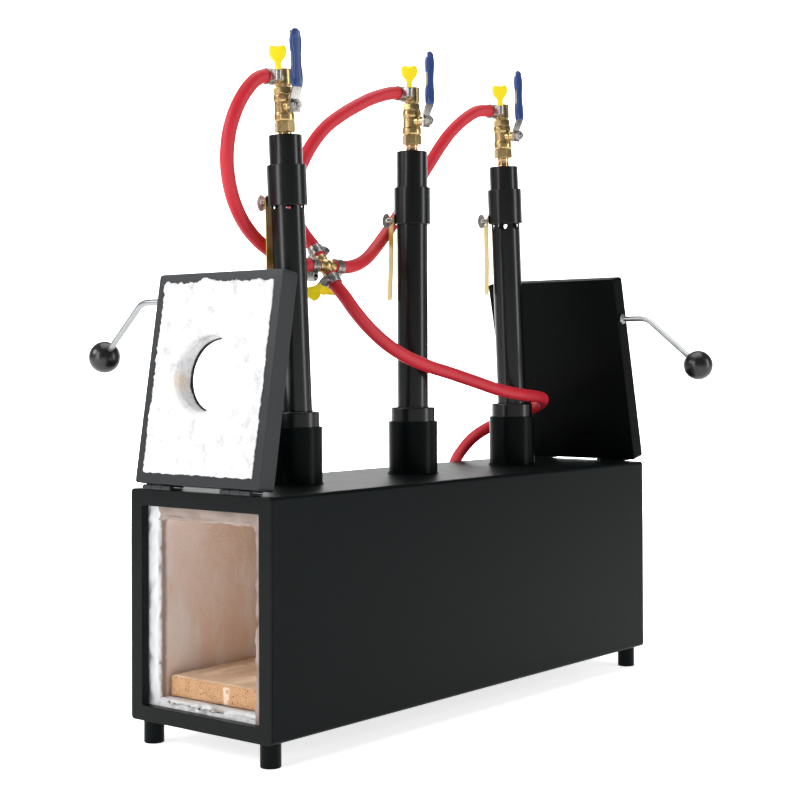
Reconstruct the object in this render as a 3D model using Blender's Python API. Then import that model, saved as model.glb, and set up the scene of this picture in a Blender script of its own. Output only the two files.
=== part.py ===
"""Three-burner gas forge, as an assembly of separate named pieces.

Metres, +Z up. +X runs along the box from the front opening to the rear one, -Y is the side that
faces the viewer, and the origin is on the floor under the middle of the box.
"""
import bpy
import bmesh
from math import cos, pi, radians, sin
from mathutils import Matrix, Vector

# General clearances and sheet
GAP = 0.0003                 # between pieces that touch
OVERRUN = 0.004              # how far a cutter runs past what it cuts
SHEET = 0.0020               # shell and end frames
CORNER = 0.0040              # outer radius of the folded edges

# Box
BOX_LENGTH = 0.7268
BOX_WIDTH = 0.2096
BOX_HEIGHT = 0.2500
FOOT_DIAMETER = 0.0220
FOOT_HEIGHT = 0.0260
FOOT_INSET = 0.0172
FRAME_SIDE = 0.0170          # border of the end frame beside its opening
FRAME_TOP = 0.0180
FRAME_BOTTOM = 0.0165
FRAME_RETURN = 0.0080        # depth of the lip folded inwards round the opening
LINING = 0.0300              # wool on the walls and the roof
BLANKET = 0.0220             # wool on the floor
BRICK_THICKNESS = 0.0240
BRICK_SIDE_GAP = 0.0030
BRICK_RECESS = 0.0230        # from the end plane to the first brick
BRICK_COUNT = 2

# Doors
DOOR_SHEET = 0.0016
DOOR_DEPTH = 0.0225
DOOR_LIP = 0.0120            # border of the rim round the wool
DOOR_CORNER = 0.0040
FRONT_DOOR_INSET = 0.0113    # on each side, from the box's side to the door's
FRONT_DOOR_WIDTH = BOX_WIDTH - 2 * FRONT_DOOR_INSET
FRONT_DOOR_HEIGHT = 0.2290
FRONT_LEAN = radians(9.4)    # how far past upright the open door rests
FRONT_HANDLE_UP = 0.2045     # from the hinge axis to the handle, along the door
REAR_DOOR_INSET = 0.0023
REAR_DOOR_WIDTH = BOX_WIDTH - 2 * REAR_DOOR_INSET
REAR_DOOR_HEIGHT = 0.2480
REAR_LEAN = radians(12.3)
REAR_HANDLE_UP = 0.1960
WOOL_DROP = 0.0010           # from the rim's plane to the door's wool
PORT_DIAMETER = 0.0780       # round port in the front door
PORT_SIDE = 0.0060           # from the door's middle to the port's, away from the viewer
PORT_RISE = 0.0060           # above the door's middle
PORT_WOOL_CUT = 0.0020       # how much wider the hole in the wool is, all round

# Hinges, whose axis lies just outside the box's top corner
PIN_DIAMETER = 0.0024
PIN_BORE = 0.0030
KNUCKLE_DIAMETER = 0.0053
LEAF = 0.0015
HINGE_LENGTH = 0.0430
KNUCKLE_GAP = 0.0005
HINGE_SPREAD = 0.1180        # between the middles of the two hinges of a door
AXIS_RISE = 0.0030           # above the box's top
RIM_OFFSET = 0.00265         # from the axis to the rim's plane
DOOR_EDGE_OFFSET = 0.0035    # from the axis to the door's hinged edge

# Handles
ROD_DIAMETER = 0.0072
HANDLE_DEPTH_SHARE = 0.54    # where the rod leaves the flange, as a share of the door's depth
HANDLE_OUT = 0.0380          # straight run before the bend
HANDLE_BEND = 0.0110
KNOB_DIAMETER = 0.0370
KNOB_REACH = 0.2315          # from the box's middle plane to the knob's centre
KNOB_FORWARD = 0.0400
KNOB_DROP = 0.0545
WELD_DIAMETER = 0.0120
WELD_HEIGHT = 0.0040

# Burners
BURNER_COUNT = 3
BURNER_PITCH = 0.2093
ROW_SHIFT = -0.0040          # the middle burner from the box's middle
BURNER_LEANS = (-3.0, 0.0, -3.1)   # degrees that each burner leans in its socket
SOCKET_DIAMETER = 0.0596
SOCKET_WALL = 0.0026
SOCKET_HEIGHT = 0.0640
FLARE_CLEARANCE = 0.0005     # between flare and socket
FLARE_WALL = 0.0030
FLARE_RISE = 0.0170          # flare above the socket
FLARE_THROAT = 0.0170        # depth of the solid neck that holds the tube
FLARE_EDGE = 0.0025
TUBE_DIAMETER = 0.0374
TUBE_WALL = 0.0020
TUBE_LENGTHS = (0.3085, 0.3120, 0.3120)   # each tube above its flare
TUBE_CAP = 0.0040
AIR_HOLE_DIAMETER = 0.0120
AIR_HOLE_DROP = 0.0770       # from the tube's top to the holes' centres
AIR_HOLE_COUNT = 6
AIR_HOLE_TURNS = (231.0, 219.0, 203.0)   # degrees, first hole of each burner
CHOKE_CLEARANCE = 0.0004
CHOKE_WALL = 0.0031
CHOKE_LENGTH = 0.0450
CHOKE_DROPS = (0.0785, 0.0890, 0.0750)   # from the tube's top to each choke's bottom, as found
SCREW_RISE = 0.0046          # from the choke's bottom to its lock screw
SCREW_DIAMETER = 0.0050
SCREW_HUB_DIAMETER = 0.0080
SCREW_HUB = 0.0060
SCREW_STANDOFF = 0.0030      # from the tag to the hub
SCREW_WING_SPAN = 0.0185
SCREW_WING_REACH = 0.0100
SCREW_WING_THICKNESS = 0.0025
SCREW_TURNS = (112.0, 129.0, 124.0)
TAG_WIDTH = 0.0200
TAG_LENGTH = 0.1050
TAG_THICKNESS = 0.0010
TAG_TOP = 0.0075             # above the screw
NIPPLE_DIAMETER = 0.0150
NIPPLE_BORE = 0.0040
NIPPLE_LENGTH = 0.0370       # below the valve
NIPPLE_RISES = (0.0030, 0.0083, 0.0113)   # of each valve above its tube's top

# Ball valves
HEX_FLATS = 0.0205
HEX_LOW = 0.0120
VALVE_BODY_DIAMETER = 0.0230
VALVE_BODY = 0.0300
HEX_TOP = 0.0080
STEM_SHARE = 0.53            # the stem's height, as a share of the body
TOP_HEX_FLATS = 0.0200
VALVE_BORE = 0.0070
BALL_DIAMETER = 0.0128
BALL_CLEARANCE = 0.0006      # to the corners of the ball's seat
STEM_DIAMETER = 0.0056
BOSS_DIAMETER = 0.0110
BOSS_REACH = 0.0205          # from the valve's axis
LEVER_THICKNESS = 0.0025
LEVER_WIDTH = 0.0125
LEVER_CRANK = 0.0060
VALVE_TURNS = (-14.0, 0.0, 0.0)   # of the boss and lever round each tube, degrees
LEVER_TAIL = 0.0080          # below the stem
LEVER_STRAIGHT = 0.0070      # above the stem, before the crank
LEVER_LENGTH = 0.0815        # above the stem
NUT_FLATS = 0.0110
NUT = 0.0070
GRIP_WIDTH = 0.0148
GRIP_THICKNESS = 0.0058
GRIP_END = 0.0018            # vinyl past the lever's tip

# Elbows and hoses
ELBOW_DIAMETER = 0.0194
ELBOW_HEIGHT = 0.0205
BRANCH_DIAMETER = 0.0150
BRANCH_REACH = 0.0135        # from the elbow's axis to the hose
HOSE_DIAMETER = 0.0156
HOSE_STEP = 0.0300
CROSS_CENTRE = Vector((-0.1530, 0.0100, 0.5230))
CROSS_REACH = 0.0130
CROSS_BODY = 0.0180
CROSS_ARM = 0.0150
CROSS_BORE = 0.0060
CONNECTOR_FLATS = 0.0220
CONNECTOR_NUT = 0.0160
CONNECTOR_COLLAR = 0.0180
CONNECTOR_COLLAR_DIAMETER = 0.0180
CONNECTOR_BORE = 0.0120
CONNECTOR_BORE_DEPTH = 0.0120

# Hose clamps and their thumb keys
BAND_WALL = 0.0009
BAND_WIDTH = 0.0110
BAND_FROM_PORT = 0.0085      # from the hose's end to the band's middle
HOUSING_ALONG_HOSE = 0.0095
HOUSING_ALONG_SCREW = 0.0110
HOUSING_DEPTH = 0.0085
HOUSING_OFFSET = 0.0140      # from the hose's axis to the screw's axis
NECK_DIAMETER = 0.0070
NECK = 0.0110
WING_WIDTH = 0.0200
WING_HEIGHT = 0.0160
WING_THICKNESS = 0.0040
WING_WAIST_SHARE = 0.45
WINGS_ACROSS = (0.63, -0.78, 0.0)   # the way the keys' wings were left lying

# Counts of flat sides
ROUND = 20
MIDDLE_ROUND = 16
SMALL_ROUND = 10
TINY_ROUND = 8
HEX = 6

# Routes of the hoses, between their straight ends
HOSE_1_ROUTE = [
    (-0.275, 0.003, 0.7200), (-0.292, 0.007, 0.6980), (-0.302, 0.012, 0.6700), (-0.302, 0.018, 0.6430),
    (-0.295, 0.024, 0.6180), (-0.279, 0.031, 0.5900), (-0.254, 0.037, 0.5640), (-0.228, 0.038, 0.5455),
    (-0.212, 0.031, 0.5350), (-0.200, 0.0225, 0.5285), (-0.190, 0.015, 0.5245),
]
HOSE_2_ROUTE = [
    (-0.050, 0.001, 0.7345), (-0.074, 0.006, 0.7260), (-0.096, 0.012, 0.7145), (-0.116, 0.018, 0.7020),
    (-0.134, 0.025, 0.6870), (-0.148, 0.031, 0.6690), (-0.160, 0.037, 0.6460), (-0.168, 0.041, 0.6230),
    (-0.171, 0.043, 0.6000), (-0.168, 0.042, 0.5800), (-0.160, 0.037, 0.5620),
]
HOSE_3_ROUTE = [
    (-0.110, 0.011, 0.5240), (-0.086, 0.017, 0.5285), (-0.060, 0.026, 0.5370), (-0.034, 0.035, 0.5500),
    (-0.008, 0.041, 0.5680), (0.015, 0.043, 0.5890), (0.039, 0.042, 0.6160), (0.059, 0.039, 0.6430),
    (0.076, 0.034, 0.6670), (0.087, 0.028, 0.6860), (0.100, 0.020, 0.7060), (0.118, 0.011, 0.7245),
    (0.136, 0.004, 0.7360),
]
SUPPLY_ROUTE = [
    (-0.149, -0.016, 0.4880), (-0.140, -0.024, 0.4710), (-0.122, -0.031, 0.4510), (-0.098, -0.036, 0.4335),
    (-0.070, -0.039, 0.4200), (-0.030, -0.041, 0.4080), (0.019, -0.041, 0.3980), (0.070, -0.041, 0.3870),
    (0.126, -0.039, 0.3755), (0.183, -0.034, 0.3690), (0.226, -0.027, 0.3655), (0.258, -0.014, 0.3610),
    (0.276, 0.006, 0.3530), (0.275, 0.029, 0.3430), (0.260, 0.048, 0.3330), (0.242, 0.066, 0.3220),
    (0.232, 0.083, 0.3090), (0.232, 0.100, 0.2940), (0.236, 0.117, 0.2760), (0.239, 0.128, 0.2520),
    (0.240, 0.134, 0.2200), (0.240, 0.135, 0.1700), (0.237, 0.136, 0.1200), (0.227, 0.139, 0.0740),
    (0.204, 0.145, 0.0360), (0.170, 0.152, 0.0140), (0.130, 0.157, 0.0084), (0.080, 0.157, 0.0082),
    (0.030, 0.150, 0.0082), (-0.020, 0.143, 0.0082), (-0.070, 0.141, 0.0082), (-0.115, 0.143, 0.0084),
    (-0.150, 0.147, 0.0098),
]
CONNECTOR_START = Vector((-0.1900, 0.1500, 0.0117))
CONNECTOR_WAY = Vector((-1.0, 0.08, 0.0))

# Where things lie, from the sizes above
BOX_TOP = FOOT_HEIGHT + BOX_HEIGHT
END_X = BOX_LENGTH / 2
SIDE_Y = BOX_WIDTH / 2
AXIS_Z = BOX_TOP + AXIS_RISE
AXIS_X = END_X + GAP + RIM_OFFSET
SOCKET_TOP = BOX_TOP + SOCKET_HEIGHT
FLARE_TOP = SOCKET_TOP + FLARE_RISE
PIVOT_Z = FLARE_TOP
FLARE_RADIUS = SOCKET_DIAMETER / 2 - SOCKET_WALL - FLARE_CLEARANCE
TUBE_RADIUS = TUBE_DIAMETER / 2
CHOKE_RADIUS = TUBE_RADIUS + CHOKE_CLEARANCE + CHOKE_WALL
# Heights on a valve, from its foot
VALVE_TOP = HEX_LOW + VALVE_BODY + HEX_TOP
STEM_UP = HEX_LOW + STEM_SHARE * VALVE_BODY
BRANCH_UP = VALVE_TOP + ELBOW_HEIGHT / 2

for old in list(bpy.data.objects):
    bpy.data.objects.remove(old, do_unlink=True)


def material(name, colour, roughness, metallic=0.0):
    """A plain surface with the piece's own colour."""
    made = bpy.data.materials.new(name)
    made.use_nodes = True
    shader = made.node_tree.nodes["Principled BSDF"]
    shader.inputs["Base Color"].default_value = (*colour, 1.0)
    shader.inputs["Roughness"].default_value = roughness
    shader.inputs["Metallic"].default_value = metallic
    return made


BLACK_STEEL = material("black_powder_coat", (0.020, 0.024, 0.025), 0.45, 0.2)
DARK_STEEL = material("dark_steel", (0.030, 0.032, 0.034), 0.40, 0.6)
ZINC = material("zinc_plated_steel", (0.62, 0.62, 0.60), 0.30, 1.0)
BRASS = material("brass", (0.62, 0.47, 0.20), 0.28, 1.0)
RUBBER = material("red_rubber", (0.42, 0.025, 0.040), 0.45)
WHITE_WOOL = material("white_wool", (0.88, 0.88, 0.87), 0.95)
COATED_WOOL = material("coated_wool", (0.62, 0.50, 0.44), 0.90)
BRICK = material("fire_brick", (0.76, 0.47, 0.26), 0.90)
BLACK_PLASTIC = material("black_knob_plastic", (0.015, 0.015, 0.016), 0.15)
BLUE_VINYL = material("blue_vinyl", (0.02, 0.08, 0.45), 0.35)
YELLOW_PLASTIC = material("yellow_plastic", (0.85, 0.68, 0.03), 0.35)
TAG_OCHRE = material("ochre_tag", (0.42, 0.29, 0.04), 0.50)


def finish(name, mesh, finish_material, parent=None, smooth=True):
    """Closes a bmesh into a named object with outward faces."""
    bmesh.ops.recalc_face_normals(mesh, faces=mesh.faces)
    data = bpy.data.meshes.new(name)
    mesh.to_mesh(data)
    mesh.free()
    if smooth:
        data.shade_smooth()
        data.set_sharp_from_angle(angle=radians(35))
    made = bpy.data.objects.new(name, data)
    made.data.materials.append(finish_material)
    bpy.context.scene.collection.objects.link(made)
    if parent is not None:
        made.parent = parent
    return made


def empty(name, location, rotation=(0.0, 0.0, 0.0), parent=None):
    """A parent that sits on a joint's axis or at the foot of a leaning burner."""
    made = bpy.data.objects.new(name, None)
    made.location = location
    made.rotation_euler = rotation
    made.parent = parent
    bpy.context.scene.collection.objects.link(made)
    return made


def add_box(mesh, low, high, bevel=0.0, segments=1):
    """A box between two corners, with its edges rounded if asked."""
    centre = [(a + b) / 2 for a, b in zip(low, high)]
    size = [b - a for a, b in zip(low, high)]
    placing = Matrix.Translation(centre) @ Matrix.Diagonal((*size, 1.0))
    made = bmesh.ops.create_cube(mesh, size=1.0, matrix=placing)
    if bevel > 0.0:
        edges = {edge for vert in made["verts"] for edge in vert.link_edges}
        bmesh.ops.bevel(mesh, geom=list(edges), offset=bevel, segments=segments, affect="EDGES", profile=0.5)


def add_lathe(mesh, profile, sides, placing=None, turn=0.0):
    """Turns a closed outline of (radius, height) points round Z; flat ends become single faces."""
    placing = placing or Matrix.Identity(4)
    rings = []
    for radius, height in profile:
        if radius == 0.0:
            rings.append([])
        else:
            angles = [turn + 2 * pi * i / sides for i in range(sides)]
            spots = [Vector((radius * cos(a), radius * sin(a), height)) for a in angles]
            rings.append([mesh.verts.new(placing @ spot) for spot in spots])
    for first, second in zip(rings, rings[1:] + rings[:1]):
        if not first and not second:
            continue
        if not first or not second:
            mesh.faces.new(first or second)
            continue
        for i in range(sides):
            j = (i + 1) % sides
            mesh.faces.new((first[i], first[j], second[j], second[i]))


def add_rod(mesh, radius, low, high, sides, placing=None, turn=0.0):
    """A plain solid cylinder or prism."""
    add_lathe(mesh, [(0.0, low), (radius, low), (radius, high), (0.0, high)], sides, placing, turn)


def add_hex(mesh, flats, low, high, placing=None, turn=0.0):
    """A hexagonal prism with its corners eased at both ends."""
    across = flats / 2
    corner = across / cos(pi / HEX)
    ease = corner - across
    profile = [(0.0, low), (across, low), (corner, low + ease), (corner, high - ease), (across, high),
               (0.0, high)]
    add_lathe(mesh, profile, HEX, placing, turn)


def add_prism(mesh, outline, low, high, placing=None):
    """Extrudes a closed outline of (x, y) points from one height to another."""
    placing = placing or Matrix.Identity(4)
    bottom = [mesh.verts.new(placing @ Vector((x, y, low))) for x, y in outline]
    top = [mesh.verts.new(placing @ Vector((x, y, high))) for x, y in outline]
    mesh.faces.new(list(reversed(bottom)))
    mesh.faces.new(top)
    for i in range(len(outline)):
        j = (i + 1) % len(outline)
        mesh.faces.new((bottom[i], bottom[j], top[j], top[i]))


def rounded_rectangle(low, high, radius, steps=3):
    """The outline of a rectangle with rounded corners, counter-clockwise."""
    corners = [(high[0] - radius, high[1] - radius, 0), (low[0] + radius, high[1] - radius, 1),
               (low[0] + radius, low[1] + radius, 2), (high[0] - radius, low[1] + radius, 3)]
    outline = []
    for x, y, quarter in corners:
        for i in range(steps + 1):
            angle = (quarter + i / steps) * pi / 2
            outline.append((x + radius * cos(angle), y + radius * sin(angle)))
    return outline


def hide_tool(tool):
    """Marks an object as a modelling tool, which is no piece of the forge."""
    tool.hide_render = True
    tool.display_type = "WIRE"
    return tool


def boolean(target, tool, operation):
    """Cuts or joins with an exact boolean."""
    made = target.modifiers.new(operation.lower(), "BOOLEAN")
    made.operation = operation
    made.solver = "EXACT"
    made.object = hide_tool(tool)


def frame_along(origin, direction, side=None):
    """A placing whose +Z is the direction and whose +X is as near as can be to the side."""
    z = Vector(direction).normalized()
    side = Vector(side) if side is not None else (Vector((0, 0, 1)) if abs(z.z) < 0.9 else Vector((1, 0, 0)))
    x = (side - side.dot(z) * z).normalized()
    y = z.cross(x)
    turn = Matrix((x, y, z)).transposed().to_4x4()
    return Matrix.Translation(origin) @ turn


LIE_ALONG_X = Matrix.Rotation(pi / 2, 4, "Z") @ Matrix.Rotation(pi / 2, 4, "X")   # outline (y, z), height x


def burner_x(index):
    """The place of a burner along the box."""
    return ROW_SHIFT + (index - 1) * BURNER_PITCH


def make_shell():
    """The folded sheet box, open at both ends, with its feet and burner sockets welded on."""
    outer = rounded_rectangle((-SIDE_Y, FOOT_HEIGHT), (SIDE_Y, BOX_TOP), CORNER)
    inner = rounded_rectangle((-SIDE_Y + SHEET, FOOT_HEIGHT + SHEET), (SIDE_Y - SHEET, BOX_TOP - SHEET),
                              CORNER - SHEET)
    half = END_X - SHEET - GAP
    mesh = bmesh.new()
    add_tube_of_outlines(mesh, outer, inner, -half, half)
    shell = finish("shell", mesh, BLACK_STEEL)
    mesh = bmesh.new()
    add_feet(mesh)
    boolean(shell, finish("shell_feet", mesh, BLACK_STEEL), "UNION")
    sockets = bmesh.new()
    bores = bmesh.new()
    edge = SHEET / 4
    radius = SOCKET_DIAMETER / 2
    for index in range(BURNER_COUNT):
        place = Matrix.Translation((burner_x(index), 0.0, 0.0))
        foot = BOX_TOP - SHEET / 2
        add_lathe(sockets, [(0.0, foot), (radius, foot), (radius, SOCKET_TOP - edge),
                            (radius - edge, SOCKET_TOP), (0.0, SOCKET_TOP)], ROUND, place)
        add_rod(bores, radius - SOCKET_WALL, BOX_TOP - SHEET - OVERRUN, SOCKET_TOP + OVERRUN, ROUND, place)
    boolean(shell, finish("shell_sockets", sockets, BLACK_STEEL), "UNION")
    boolean(shell, finish("socket_bores", bores, BLACK_STEEL), "DIFFERENCE")


def add_tube_of_outlines(mesh, outer, inner, low, high):
    """A tube along X between two outlines in (y, z) with the same number of points."""
    def ring(outline, x):
        return [mesh.verts.new((x, y, z)) for y, z in outline]
    rings = [ring(outer, low), ring(outer, high), ring(inner, high), ring(inner, low)]
    count = len(outer)
    for first, second in zip(rings, rings[1:] + rings[:1]):
        for i in range(count):
            j = (i + 1) % count
            mesh.faces.new((first[i], first[j], second[j], second[i]))


def make_end_frame(name, way):
    """The face frame of one end, with a lip folded inwards round its opening."""
    outer = rounded_rectangle((-SIDE_Y, FOOT_HEIGHT), (SIDE_Y, BOX_TOP), CORNER, 3)
    low = (-SIDE_Y + FRAME_SIDE, FOOT_HEIGHT + FRAME_BOTTOM)
    high = (SIDE_Y - FRAME_SIDE, BOX_TOP - FRAME_TOP)
    opening = rounded_rectangle(low, high, SHEET / 2, 3)
    lip = rounded_rectangle((low[0] - SHEET, low[1] - SHEET), (high[0] + SHEET, high[1] + SHEET),
                            SHEET * 1.5, 3)
    mesh = bmesh.new()

    def ring(outline, depth):
        return [mesh.verts.new((way * (END_X - depth), y, z)) for y, z in outline]
    rings = [ring(outer, 0.0), ring(outer, SHEET), ring(lip, SHEET), ring(lip, SHEET + FRAME_RETURN),
             ring(opening, SHEET + FRAME_RETURN), ring(opening, 0.0)]
    count = len(outer)
    for first, second in zip(rings, rings[1:] + rings[:1]):
        for i in range(count):
            j = (i + 1) % count
            mesh.faces.new((first[i], first[j], second[j], second[i]))
    finish(name, mesh, BLACK_STEEL)


INSIDE_END = END_X - SHEET - FRAME_RETURN - GAP
LINING_Y = SIDE_Y - SHEET - GAP
LINING_TOP = BOX_TOP - SHEET - GAP
FLOOR_Z = FOOT_HEIGHT + SHEET + GAP
CHAMBER_Y = LINING_Y - LINING
CHAMBER_TOP = LINING_TOP - LINING
BLANKET_TOP = FLOOR_Z + BLANKET
BRICK_Z = BLANKET_TOP + GAP
BRICK_TOP = BRICK_Z + BRICK_THICKNESS


def make_lining():
    """Wool on the walls and roof, bent as one blanket, with a port for each burner."""
    inner_corner = LINING / 4
    outer_corner = CORNER - SHEET
    outline = [(-LINING_Y + outer_corner, FLOOR_Z), (-LINING_Y, FLOOR_Z + outer_corner)]
    arch = rounded_rectangle((-LINING_Y, FLOOR_Z), (LINING_Y, LINING_TOP), outer_corner)
    outline += [p for p in reversed(arch[:8])]
    outline += [(LINING_Y, FLOOR_Z + outer_corner), (LINING_Y - outer_corner, FLOOR_Z), (CHAMBER_Y, FLOOR_Z)]
    inside = rounded_rectangle((-CHAMBER_Y, FLOOR_Z), (CHAMBER_Y, CHAMBER_TOP), inner_corner)
    outline += inside[:8]
    outline += [(-CHAMBER_Y, FLOOR_Z)]
    mesh = bmesh.new()
    add_prism(mesh, list(reversed(outline)), -INSIDE_END, INSIDE_END, LIE_ALONG_X)
    lining = finish("wall_lining", mesh, COATED_WOOL)
    mesh = bmesh.new()
    for index in range(3):
        place = Matrix.Translation((burner_x(index), 0.0, 0.0))
        add_rod(mesh, FLARE_RADIUS + GAP, CHAMBER_TOP - OVERRUN, LINING_TOP + OVERRUN, ROUND, place)
    boolean(lining, finish("lining_ports", mesh, COATED_WOOL), "DIFFERENCE")


def make_floor():
    """The floor blanket and the row of bricks on it."""
    mesh = bmesh.new()
    side = CHAMBER_Y - GAP
    add_box(mesh, (-INSIDE_END, -side, FLOOR_Z), (INSIDE_END, side, BLANKET_TOP))
    finish("floor_blanket", mesh, WHITE_WOOL)
    half = END_X - BRICK_RECESS
    pitch = 2 * half / BRICK_COUNT
    wide = CHAMBER_Y - BRICK_SIDE_GAP
    for i in range(BRICK_COUNT):
        low = -half + i * pitch + GAP / 2
        mesh = bmesh.new()
        add_box(mesh, (low, -wide, BRICK_Z), (low + pitch - GAP, wide, BRICK_TOP), bevel=SHEET / 2)
        finish("floor_brick_%d" % (i + 1), mesh, BRICK)


def make_burner_tube(number, parent, lean, length, first_hole):
    """A burner tube on its flare, closed on top round the nipple, with air holes under the choke."""
    upright = Matrix.Rotation(radians(-lean), 4, "Y")
    low = CHAMBER_TOP + SHEET - PIVOT_Z
    mouth = FLARE_RADIUS - FLARE_WALL
    throat = -FLARE_THROAT
    mesh = bmesh.new()
    add_lathe(mesh, [(mouth, low), (FLARE_RADIUS, low), (FLARE_RADIUS, -FLARE_EDGE),
                     (FLARE_RADIUS - FLARE_EDGE, 0.0), (0.0, 0.0), (0.0, throat), (mouth, throat)],
              ROUND, upright)
    tube = finish("burner_tube_%d" % number, mesh, BLACK_STEEL, parent)
    edge = TUBE_WALL
    inner = TUBE_RADIUS - TUBE_WALL
    mesh = bmesh.new()
    add_lathe(mesh, [(0.0, throat / 2), (TUBE_RADIUS, throat / 2), (TUBE_RADIUS, length - edge),
                     (TUBE_RADIUS - edge, length), (0.0, length)], ROUND)
    boolean(tube, finish("tube_rod_%d" % number, mesh, BLACK_STEEL, parent), "UNION")
    mesh = bmesh.new()
    add_rod(mesh, inner, throat - OVERRUN, length - TUBE_CAP, ROUND)
    boolean(tube, finish("tube_bore_%d" % number, mesh, BLACK_STEEL, parent), "DIFFERENCE")
    mesh = bmesh.new()
    add_rod(mesh, NIPPLE_DIAMETER / 2 + GAP, length - TUBE_CAP - OVERRUN, length + OVERRUN, SMALL_ROUND)
    boolean(tube, finish("nipple_hole_%d" % number, mesh, BLACK_STEEL, parent), "DIFFERENCE")
    mesh = bmesh.new()
    for i in range(AIR_HOLE_COUNT):
        turn = Matrix.Rotation(radians(first_hole) + 2 * pi * i / AIR_HOLE_COUNT, 4, "Z")
        reach = TUBE_RADIUS + OVERRUN
        place = Matrix.Translation((0.0, 0.0, length - AIR_HOLE_DROP)) @ turn
        place = place @ Matrix.Rotation(pi / 2, 4, "Y")
        add_rod(mesh, AIR_HOLE_DIAMETER / 2, inner - OVERRUN, reach, SMALL_ROUND, place)
    boolean(tube, finish("air_holes_%d" % number, mesh, BLACK_STEEL, parent), "DIFFERENCE")


def make_choke(number, parent, length, drop, turn):
    """The choke sleeve, its lock screw and the blank tag that the screw holds."""
    inner = TUBE_RADIUS + CHOKE_CLEARANCE
    edge = SHEET / 4
    slide = empty("choke_slide_%d" % number, (0.0, 0.0, length - drop), parent=parent)
    mesh = bmesh.new()
    add_lathe(mesh, [(inner, 0.0), (CHOKE_RADIUS - edge, 0.0), (CHOKE_RADIUS, edge),
                     (CHOKE_RADIUS, CHOKE_LENGTH - edge), (CHOKE_RADIUS - edge, CHOKE_LENGTH),
                     (inner, CHOKE_LENGTH)], ROUND, turn=radians(turn))
    choke = finish("choke_%d" % number, mesh, BLACK_STEEL, slide)
    out = Vector((cos(radians(turn)), sin(radians(turn)), 0.0))
    on_choke = frame_along((0.0, 0.0, SCREW_RISE), out)
    shank = SCREW_DIAMETER / 2
    mesh = bmesh.new()
    add_rod(mesh, shank + GAP, inner - OVERRUN / 2, CHOKE_RADIUS + OVERRUN, SMALL_ROUND, on_choke)
    boolean(choke, finish("screw_hole_%d" % number, mesh, BLACK_STEEL, slide), "DIFFERENCE")
    # the screw's own parent lies on its axis
    axis = empty("screw_axis_%d" % number, (0.0, 0.0, SCREW_RISE), parent=slide)
    on_axis = frame_along((0.0, 0.0, 0.0), out)
    near = CHOKE_RADIUS + GAP
    tag_face = near + TAG_THICKNESS
    hub = tag_face + SCREW_STANDOFF
    wide = SCREW_HUB_DIAMETER / 2
    mesh = bmesh.new()
    add_lathe(mesh, [(0.0, TUBE_RADIUS + GAP), (shank, TUBE_RADIUS + GAP), (shank, hub), (wide, hub),
                     (wide, hub + SCREW_HUB * 0.7), (wide * 0.7, hub + SCREW_HUB), (0.0, hub + SCREW_HUB)],
              SMALL_ROUND, on_axis)
    screw = finish("choke_screw_%d" % number, mesh, ZINC, axis)
    half = SCREW_WING_SPAN / 2
    reach = hub + SCREW_WING_REACH
    # the head is an oval plate on edge; its outline is (height, distance from the burner)
    middle = (hub + edge + reach) / 2
    deep = reach - middle
    turns = [2 * pi * (i + 0.5) / SMALL_ROUND for i in range(SMALL_ROUND)]
    outline = [(half * cos(a), middle + deep * sin(a)) for a in turns]
    thick = SCREW_WING_THICKNESS / 2
    mesh = bmesh.new()
    flat = Matrix(((1, 0, 0, 0), (0, 0, 1, 0), (0, 1, 0, 0), (0, 0, 0, 1)))
    add_prism(mesh, outline, -thick, thick, on_axis @ flat)
    boolean(screw, finish("screw_wings_%d" % number, mesh, ZINC, axis), "UNION")
    low = TAG_TOP - TAG_LENGTH
    half = TAG_WIDTH / 2
    # the tag hangs with its face square to the screw; its outline is (height, breadth) there
    outline = rounded_rectangle((low, -half), (TAG_TOP, half), half / 3)
    mesh = bmesh.new()
    add_prism(mesh, outline, near, tag_face, on_choke)
    tag = finish("burner_tag_%d" % number, mesh, TAG_OCHRE, slide)
    mesh = bmesh.new()
    add_rod(mesh, shank + GAP, near - OVERRUN / 2, tag_face + OVERRUN / 2, SMALL_ROUND, on_choke)
    boolean(tag, finish("tag_hole_%d" % number, mesh, TAG_OCHRE, slide), "DIFFERENCE")


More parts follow.
